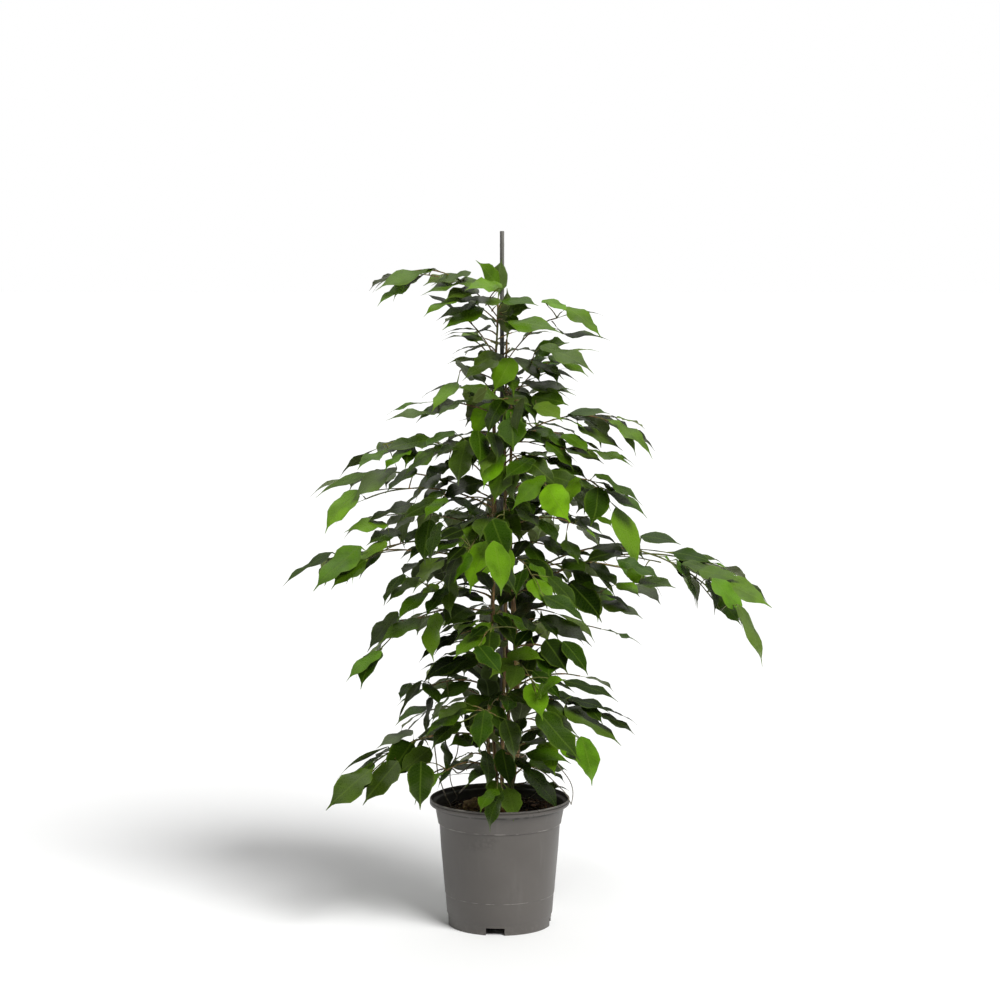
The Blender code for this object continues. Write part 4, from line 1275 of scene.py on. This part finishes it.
def fine_twig(twig):
    """A twig's line at close points, with the slight bends of real wood."""
    whole = length_of(twig.line) - LEAF_LENGTH
    count = max(3, round(whole / WOOD_STEP))
    bend, scale = TWIG_BENDS
    points = []
    for i in range(count + 1):
        point = along(twig.line, whole * i / count)[0]
        points.append(point + bend * min(1, i / 3) * noise.noise_vector(point * scale))
    return points


def fine_stem(stem, low):
    """A stem's line at close points, from a height up."""
    count = round((stem.top - low) / WOOD_STEP)
    bend, scale = STEM_BENDS
    points = [stem_point(stem, low + (stem.top - low) * i / count) for i in range(count + 1)]
    return [point + bend * noise.noise_vector(point * scale) for point in points]


def wood_radii(points, thick, thin, seed):
    """Radii along a line: an even taper, with a small swelling at each node."""
    last = len(points) - 1
    draw = random.Random(seed)
    radii = []
    for i in range(last + 1):
        even = thick + (thin - thick) * i / last
        radii.append(even * (NODE_SWELL if i % 3 == 1 else 1.0) * draw.uniform(0.95, 1.05))
    return radii


def trunk_of(name, stem):
    """A stem's own wood. One stem has an old knob low down."""
    line = fine_stem(stem, STEM_FOOT)
    share = 1.0 if name == KNOB_STEM else STEM_SHARE
    radii = wood_radii(line, stem.thick * share, stem.thin * share, name)
    if name == KNOB_STEM:
        more, reach = KNOB_SIZE
        swells = [1 + more * math.exp(-((point.z - KNOB_HEIGHT) / reach) ** 2) for point in line]
        radii = [radius * swell for radius, swell in zip(radii, swells)]
    return threads("trunk", [line], [radii], STEM_SIDES)


def twigs_of(name):
    """A stem's branches and twigs, and the long stalks of the leaves that show most."""
    lines, widths = [], []
    for twig in twigs:
        if twig.owner[0] == name:
            line = fine_lines[twig.owner]
            lines.append(line)
            thick, thin = twig.thick * TWIG_SHARE, twig.thin * TWIG_SHARE
            widths.append(wood_radii(line, thick, thin, twig.owner))
    for twig, wood, leaf in shown:
        reach = (wood - leaf.root).length
        if twig.owner[0] == name and reach > 0.003:
            line = arch(wood, leaf.root, 0.12 * reach)[::4]
            lines.append(line)
            thick, thin = STALK_RADII
            widths.append([thick + (thin - thick) * i / len(line) for i in range(len(line))])
    return threads("twigs", lines, widths, TWIG_SIDES)


fine_lines = {twig.owner: fine_twig(twig) for twig in twigs}
for name, stem in STEMS.items():
    fine_lines[name + ".stem"] = fine_stem(stem, SOIL_TOP)
wood_parts = {name: join([trunk_of(name, stem), twigs_of(name)]) for name, stem in STEMS.items()}


def bark():
    """Fig bark: brown and streaked low down, with pale pores, turning olive-green on the twigs."""
    made, tree, shader = new_material("fig_bark", (0.13, 0.075, 0.04), 0.65)
    place, patches, grain, streaks = mottle(tree, 60.0, 0.25)
    level = split(tree, place)[1]
    out = add_node(tree, "ShaderNodeVectorMath", {0: level}, operation="LENGTH").outputs["Value"]
    ridges, blotches = between(tree, streaks, 0.35, 0.65), between(tree, patches, 0.35, 0.65)
    brown = mix(tree, ridges, (0.110, 0.060, 0.022), (0.30, 0.185, 0.075))
    green = mix(tree, blotches, (0.060, 0.075, 0.018), (0.13, 0.14, 0.035))
    young = between(tree, math_node(tree, "ADD", out, patches), 0.52, 0.68)
    colour = mix(tree, young, brown, green)
    pores = add_node(tree, "ShaderNodeTexVoronoi", {"Vector": place, "Scale": 420.0})
    pale = between(tree, pores.outputs["Distance"], 0.22, 0.12, 0.0, 0.6)
    plug(tree, shader, {"Base Color": mix(tree, pale, colour, (0.33, 0.26, 0.15))})
    bump(tree, shader, streaks, 0.6, 0.6 * MM)
    return made


bark_skin = bark()

# The leaves.
# Thin, smooth, pointed ovals with waved edges and a long drip tip, each on a thin yellow-green stalk.
# Most are dark green and glossy, some young ones are bright, and all are paler underneath.

LEAF_ACROSS = 8
# Half width and half thickness of the leaf, from the stalk's root at -1, past the blade's start at 0.
LEAF_RINGS = (
    (-1.0, 0.040, 1.5), (0.0, 0.034, 1.2), (0.03, 0.27, 1.0), (0.09, 0.63, 0.9), (0.18, 0.90, 0.85),
    (0.29, 1.02, 0.8), (0.41, 1.04, 0.7), (0.53, 0.98, 0.6), (0.64, 0.83, 0.5), (0.74, 0.56, 0.45),
    (0.82, 0.27, 0.4), (0.88, 0.10, 0.35), (1.0, 0.02, 0.3),
)
LEAF_HALF_THICKNESS = 0.32 * MM
# What each leaf draws: the height of its waves and its sideways sweep as shares of its length, the
# waves along it and where they start, how uneven its outline is, and how much of its fold is cupped.
WAVES = (0.020, 0.066)
WAVE_TURNS = (1.1, 2.3)
SWEEPS = (-0.35, 0.35)
RAGGED = (0.03, 0.085)
CUPPED = (0.2, 1.1)
# Leaves of the rule are drawn this much narrower than planned.
RULE_BREADTHS = (0.74, 0.98)
# The shares of leaves that are old, middling and young, as limits of a first draw, and their tones.
# Within this reach of the upright through the cane all leaves are darker: painted shade of the crown's
# core, and older leaves.
TONES = ((0.38, (0.0, 0.22)), (0.64, (0.22, 0.50)), (1.0, (0.50, 0.92)))
CORE_SHADE_REACH = 0.15
# How much lighter leaves are drawn at the crown and at the foot: from which height, over what height,
# how much.
LIGHTER_BY_HEIGHT = ((0.58, 0.25, 0.25), (0.38, -0.10, 0.09))
# A face's colours by tone, and those of its veins and its stalk.
UPPER_TINTS = (
    (0.0, (0.005, 0.015, 0.001)), (0.30, (0.025, 0.068, 0.001)), (0.60, (0.068, 0.164, 0.002)),
    (0.90, (0.102, 0.222, 0.003)), (1.0, (0.158, 0.370, 0.003)),
)
UNDER_TINTS = (
    (0.0, (0.012, 0.021, 0.004)), (0.30, (0.050, 0.084, 0.014)), (0.60, (0.11, 0.18, 0.020)),
    (0.90, (0.16, 0.27, 0.022)), (1.0, (0.22, 0.37, 0.022)),
)
UPPER_VEINS = (0.13, 0.21, 0.020)
UNDER_VEINS = (0.16, 0.22, 0.075)
STALK_TINT = (0.20, 0.235, 0.045)
SIDE_VEINS = 13


def leaf_pattern():
    """One flat leaf, drawn out ring by ring from the root of its stalk to its tip."""
    choose()
    rings = [((place, 0, 0), (1, wide, deep)) for place, wide, deep in LEAF_RINGS]
    root, size = rings[0]
    bpy.ops.mesh.primitive_circle_add(
        vertices=LEAF_ACROSS, radius=1, fill_type="NGON", location=root,
        rotation=(math.pi / 2, 0, math.pi / 2)
    )
    leaf = keep_as("leaf_pattern")
    bpy.ops.object.mode_set(mode="EDIT")
    bpy.ops.mesh.select_all(action="SELECT")
    bpy.ops.transform.resize(value=size, center_override=root)
    draw_out(rings)
    return leaf


pattern = leaf_pattern()
under_faces = [face.normal.z < -0.01 for face in pattern.data.polygons]
pattern_places, whole_faces = read_mesh(pattern)
half_widths = {round(place, 3): wide for place, wide, deep in LEAF_RINGS}
pattern_edges = [abs(v) / half_widths[round(u, 3)] for u, v, w in pattern_places]


def first_corner(face):
    """What orders the corners of a face: nearest the stalk first, then nearest the midrib."""
    u, v, w = pattern_places[face[0]]
    return round(u, 4), abs(v)


# Each four-cornered face is halved, upper and under faces along the same diagonal, so that the two
# sides of a bent blade stay parallel.
pattern_faces, pattern_kinds = [], []
for face, under in zip(whole_faces, under_faces):
    if len(face) == 4:
        a, b, c, d = min([face[i:] + face[:i] for i in range(4)], key=first_corner)
        halves = [(a, b, c), (a, c, d)]
    else:
        halves = [face]
    pattern_faces += halves
    pattern_kinds += [2 if under else 1] * len(halves)


def lay_leaf(leaf, shift, broad, draw):
    """The pattern bent, folded and waved as one leaf, a share as broad as planned, on its stalk."""
    u, v, w = pattern_places.T
    blade = np.clip(u, 0, 1)
    length, half = leaf.length, leaf.width / 2 * broad
    wave = draw.uniform(*WAVES) * length
    turns, phase = draw.uniform(*WAVE_TURNS), draw.uniform(0, 6.3)
    sweep, ragged = draw.uniform(*SWEEPS), draw.uniform(*RAGGED)
    cup = leaf.fold * draw.uniform(*CUPPED)
    ripple = 6.283 * turns * blade
    side = v * half * (1 + ragged * np.sin(2.4 * ripple + 2 * phase + 2.5 * np.sign(v)))
    height = leaf.fold * np.abs(side) - cup * side * side / half + w * LEAF_HALF_THICKNESS
    height = height + wave * v * v * np.sin(ripple + phase + np.sign(v) * 1.1)
    bend = leaf.curl * blade
    x = np.sin(bend) * length / leaf.curl
    z = (np.cos(bend) - 1) * length / leaf.curl - 0.35 * length * np.clip(blade - 0.72, 0, 1) ** 1.5
    side = side + sweep * length * np.clip(blade - 0.45, 0, 1) ** 2
    bend = bend + 0.9 * np.clip(blade - 0.7, 0, 1) ** 1.5
    local = np.stack((x + np.sin(bend) * height, side, z + np.cos(bend) * height), axis=1)
    laid = local @ np.array(leaf.turn).T + np.array(leaf.base)
    laid[u < 0] += np.array(leaf.root - leaf.base)
    return laid + np.array(shift)


def shift_of(twig, distance, leaf):
    """How far the finer wood stands from the plain wood where a leaf is rooted."""
    share = distance / length_of(twig.wood)
    line = fine_lines[twig.owner]
    return along(line, share * length_of(line))[0] - leaf.root


def tone_of(leaf, draw):
    """A leaf's tone in colour, from 0, old and dark, to 1, young and bright, darker near the cane as
    painted shade.
    """
    roll = draw.random()
    limits = next(tones for share, tones in TONES if roll < share)
    middle = blade_point(leaf, 0.5, 0) - MIDDLE
    out = math.hypot(middle.x, middle.y)
    # Painted shade: leaves near the cane are darkened, as the crown's core is shaded; these are also
    # older.
    return draw.uniform(*limits) * min(1.0, 0.05 + out / CORE_SHADE_REACH)


all_leaves = [
    (name, *entry) for name in STEMS for entry in leaves[name] if not fills_gap(entry[2])
]
all_leaves += [(twig.owner[0], None, 0.0, leaf) for twig, wood, leaf in shown]
leaf_parts = {name: ([], [], [], []) for name in STEMS}
for number, (name, twig, distance, leaf) in enumerate(all_leaves):
    draw = random.Random(number)
    # A shown leaf's tone is set partly from how lit it looks: painted light and shade.
    tone, shift, broad = leaf.age, Vector(), 1.0
    if twig:
        tone, shift = tone_of(leaf, draw), shift_of(twig, distance, leaf)
        broad = draw.uniform(*RULE_BREADTHS)
    for height, over, most in LIGHTER_BY_HEIGHT:
        tone += most * (1 - tone) * min(1, max(0, (leaf.base.z - height) / over))
    places, faces, kinds, marks = leaf_parts[name]
    start = len(places) * len(pattern_places)
    places.append(lay_leaf(leaf, shift, broad, draw))
    faces += [tuple(corner + start for corner in face) for face in pattern_faces]
    kinds += pattern_kinds
    hue, value = draw.random(), draw.random()
    marks += [(tone, value, hue, edge) for edge in pattern_edges]


def make_veins():
    """A group for both faces of a leaf: its midrib, its many fine side veins, and its stalk."""
    group, (u, v), out = new_group(
        "leaf_veins", ("Along", "Across"), ("Midrib", "Side veins", "Stalk")
    )
    off = math_node(group, "ABSOLUTE", v)
    slant = math_node(group, "SUBTRACT", u, product(group, off, 0.16))
    ripple = math_node(group, "SINE", product(group, slant, 6.2832 * SIDE_VEINS))
    plug(group, out, {
        "Midrib": between(group, off, 0.085, 0.03),
        "Side veins": between(group, ripple, 0.55, 1.0),
        "Stalk": between(group, u, 0.02, -0.02),
    })
    return group


vein_group = make_veins()


def leaf_skin(name, tints, vein_tint, roughness, relief, shine):
    """A leaf's upper or under face: its green by tone, which holds how old it is and painted light and
    shade, its veins and its stalk.
    """
    made, tree, shader = new_material(name, tints[1][1], roughness)
    uv = add_node(tree, "ShaderNodeUVMap", uv_map="UVMap").outputs["UV"]
    spot = add_node(tree, "ShaderNodeSeparateXYZ", {0: uv}).outputs
    places = {"Along": spot["X"], "Across": spot["Y"]}
    veins = add_node(tree, "ShaderNodeGroup", places, node_tree=vein_group).outputs
    own = add_node(tree, "ShaderNodeAttribute", attribute_name="leaf").outputs
    draws = add_node(tree, "ShaderNodeSeparateColor", {0: own["Color"]}).outputs
    tone, bright, other = draws["Red"], draws["Green"], draws["Blue"]
    _, patches, grain, _ = mottle(tree, 35.0)
    # Some old leaves are olive and glossy; the young ones stay a clear green.
    olive = product(tree, other, between(tree, tone, 0.85, 0.5, 0.25, 1.0))
    ramp = add_node(tree, "ShaderNodeValToRGB", {"Fac": tone})
    elements = ramp.color_ramp.elements
    while len(elements) < len(tints):
        elements.new(0.5)
    for element, (place, tint) in zip(elements, tints):
        element.position, element.color = place, (*tint, 1)
    varied = add_node(tree, "ShaderNodeHueSaturation", {
        "Color": ramp.outputs["Color"],
        "Hue": between(tree, olive, 0.0, 1.0, 0.500, 0.476),
        "Saturation": between(tree, olive, 0.3, 1.0, 0.99, 0.92),
        "Value": between(tree, bright, 0.0, 1.0, 0.54, 1.50),
    }).outputs["Color"]
    colour = mix(tree, between(tree, patches, 0.42, 0.68, 0.0, 0.35), varied, tints[0][1])
    for share, tint in (
        (between(tree, own["Alpha"], 0.80, 1.0, 0.0, 0.32), vein_tint),
        (product(tree, veins["Side veins"], 0.05), vein_tint),
        (product(tree, veins["Midrib"], 0.24), vein_tint),
        (veins["Stalk"], STALK_TINT),
    ):
        colour = mix(tree, share, colour, tint)
    plug(tree, shader, {
        "Base Color": colour,
        "Roughness": between(tree, grain, 0.3, 0.7, roughness - 0.06, roughness + 0.08),
        "Specular IOR Level": between(tree, tone, 0.0, 0.25, 0.06, 0.50),
        "Specular Tint": (1.0, 1.0, 0.65, 1),
        "Coat Weight": between(tree, olive, 0.45, 1.0, 0.0, shine),
        "Coat Roughness": 0.28,
        "Sheen Weight": 0.035,
        "Sheen Roughness": 0.35,
        "Sheen Tint": (0.9, 1.0, 0.4, 1),
    })
    raised = math_node(tree, "ADD", veins["Midrib"], product(tree, veins["Side veins"], 0.4))
    bump(tree, shader, raised, relief, 0.5 * MM)
    return made


upper_skin = leaf_skin("leaf_upper", UPPER_TINTS, UPPER_VEINS, 0.31, 0.3, 0.6)
under_skin = leaf_skin("leaf_under", UNDER_TINTS, UNDER_VEINS, 0.55, 0.5, 0.0)

for name, (places, faces, kinds, marks) in leaf_parts.items():
    mesh = bpy.data.meshes.new("leaves")
    mesh.from_pydata(np.concatenate(places).tolist(), [], faces)
    own = mesh.attributes.new("leaf", "FLOAT_COLOR", "POINT")
    own.data.foreach_set("color", np.array(marks, dtype=np.float32).ravel())
    spots = np.tile(pattern_places[:, :2], (len(places), 1))
    corners = np.empty(len(mesh.loops), dtype=np.int32)
    mesh.loops.foreach_get("vertex_index", corners)
    uv = mesh.uv_layers.new(name="UVMap")
    uv.data.foreach_set("uv", spots[corners].ravel().astype(np.float32))
    for skin in (bark_skin, upper_skin, under_skin):
        mesh.materials.append(skin)
    mesh.polygons.foreach_set("material_index", np.array(kinds, dtype=np.int32))
    wood_parts[name].data.materials.append(bark_skin)
    fig = join([add_object("leaves", mesh), wood_parts[name]])
    fig.name = fig.data.name = f"fig_stem_{name}"
    smooth(fig, 62)
    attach(fig, "root")
    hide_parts(f"leafy_stem_{name}")

# Aerial roots and dry strands.
# Thin grey roots and dry stalks that hang from the lowest branches on to the soil, over the rim and
# beside the pot. They grew from the stems, and each starts at the wood nearest to it.

# Each one in millimetres, as it looks from VIEWPOINT against the upright plane through the cane: how
# far behind the plane it starts and ends, its radius, and its places.
STRANDS = (
    (-30, 9, 1.15, ((-98, 290), (-98, 272), (-95, 249), (-93, 227), (-87, 211), (-81, 192),
                    (-75, 183), (-72, 176))),
    (-30, 40, 1.05, ((-60, 290), (-62, 272), (-64, 256), (-73, 241), (-75, 226), (-73, 214),
                     (-69, 202), (-63, 192), (-66, 188), (-72, 183))),
    (-30, -10, 1.4, ((-22, 240), (-33, 224), (-48, 212), (-61, 198))),
    (-60, -50, 0.9, ((83, 246), (93, 234), (101, 224), (107, 214), (110, 203), (110, 192),
                     (107, 180))),
    (-40, -20, 0.9, ((70, 228), (89, 208), (98, 200), (104, 189), (107, 182))),
    (-10, 59, 0.6, ((20, 238), (35, 232), (50, 223), (59, 209), (55, 198), (46, 192), (37, 189))),
)
DARK_STRANDS = (
    (-40, -20, 1.3, ((-112, 216), (-100, 229), (-89, 235), (-70, 237), (-64, 227), (-52, 234),
                     (-41, 244), (-20, 252))),
    (-20, -10, 0.6, ((-112, 224), (-99, 226), (-84, 224), (-67, 227), (-37, 229), (-14, 236))),
    (-30, -30, 0.8, ((-84, 290), (-80, 272), (-77, 256), (-73, 241), (-70, 237))),
)


def soften(points, times=2):
    """A line with its corners cut, so that it hangs in curves."""
    for _ in range(times):
        cut = [points[0]]
        for a, b in zip(points, points[1:]):
            cut += [a.lerp(b, 0.25), a.lerp(b, 0.75)]
        points = cut + [points[-1]]
    return points


def hang(name, rows, skin):
    """Strands laid through the places of a table, each from the wood nearest to its start."""
    lines, widths = [], []
    for first, last, radius, places in rows:
        count = len(places) - 1
        depths = [(first + (last - first) * i / count) * MM for i in range(count + 1)]
        spots = [against_plane(x, z, depth) for (x, z), depth in zip(places, depths)]
        near = [point for twig, point in wood_points]
        wood = min(near, key=lambda point: (point - spots[0]).length)
        line = soften([wood] + spots)
        lines.append(line)
        widths.append([radius * MM * (1 - 0.3 * i / len(line)) for i in range(len(line))])
    piece = threads(name, lines, widths, 1)
    piece.data.materials.append(skin)
    smooth(piece, 60)
    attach(piece, "root")


root_skin = earth("dry_root", (0.17, 0.145, 0.11), (0.34, 0.30, 0.245), 200.0, 0.7, 0.0002)
twig_skin = earth("dry_twig", (0.045, 0.036, 0.018), (0.085, 0.068, 0.036), 200.0, 0.7, 0.0002)
hang("aerial_roots", STRANDS, root_skin)
hang("dry_twigs", DARK_STRANDS, twig_skin)

# The studio.
# A wide pale floor under an even white sky, a soft key light high on the right, and the camera 4 m in
# front at chest height, looking a little down.

CAMERA_PITCH = 6.18
CAMERA_LENS = 97.63
SENSOR = 36
KEY_PLACE = Vector((1.5, -2.0, 3.0))
KEY_AIM = Vector((0, 0, 0.55))
KEY_ENERGY = 3.8
KEY_SPREAD = 30
# The sky's light from the camera's side and from behind the plant, and its share in reflections low
# down and overhead.
FILL_FRONT = 0.08
FILL_BACK = 0.72
GLOSS_LOW = 0.12
GLOSS_HIGH = 1.35
OVERHEAD = (0.3, 0.85)

choose()
bpy.ops.mesh.primitive_plane_add(size=60)
floor = keep_as("studio_floor")


def floor_paint():
    made, tree, shader = new_material("floor_paint", (0.92, 0.92, 0.915), 0.9)
    patches = mottle(tree, 1.5)[1]
    colour = mix(tree, patches, (0.915, 0.915, 0.91), (0.93, 0.93, 0.925))
    plug(tree, shader, {"Base Color": colour})
    return made


floor.data.materials.append(floor_paint())

sky = bpy.data.worlds.new("studio_sky")
bpy.context.scene.world = sky
sky.use_nodes = True
tree = sky.node_tree


def choice(tree, share, one, two):
    """One strength of the sky, or the other for rays of a kind."""
    return add_node(tree, "ShaderNodeMix", {0: share, 2: one, 3: two}).outputs[0]


# White behind the plant and dim behind the camera, as in a photographer's studio, and plain white to
# the camera itself.
way = add_node(tree, "ShaderNodeTexCoord").outputs["Generated"]
ways = add_node(tree, "ShaderNodeSeparateXYZ", {0: way}).outputs
around = between(tree, ways["Y"], -1.0, 1.0, FILL_FRONT, FILL_BACK)
overhead = between(tree, ways["Z"], *OVERHEAD, GLOSS_LOW, GLOSS_HIGH)
rays = add_node(tree, "ShaderNodeLightPath").outputs
dimmer = product(tree, around, choice(tree, rays["Is Glossy Ray"], 1.0, overhead))
plug(tree, tree.nodes["Background"], {
    "Color": (1, 1, 1, 1), "Strength": choice(tree, rays["Is Camera Ray"], dimmer, 1.0),
})

key = bpy.data.lights.new("key_light", "SUN")
key.energy, key.angle = KEY_ENERGY, math.radians(KEY_SPREAD)
key_light = add_object("key_light", key)
key_light.visible_glossy = False
key_light.location = KEY_PLACE
key_light.rotation_euler = (KEY_AIM - KEY_PLACE).to_track_quat("-Z", "Y").to_euler()

lens = bpy.data.cameras.new("camera")
lens.lens, lens.sensor_width = CAMERA_LENS, SENSOR
camera = add_object("camera", lens)
camera.location = VIEWPOINT
camera.rotation_euler = (math.radians(90 - CAMERA_PITCH), 0, 0)
bpy.context.scene.camera = camera
bpy.context.scene.view_settings.view_transform = "Standard"
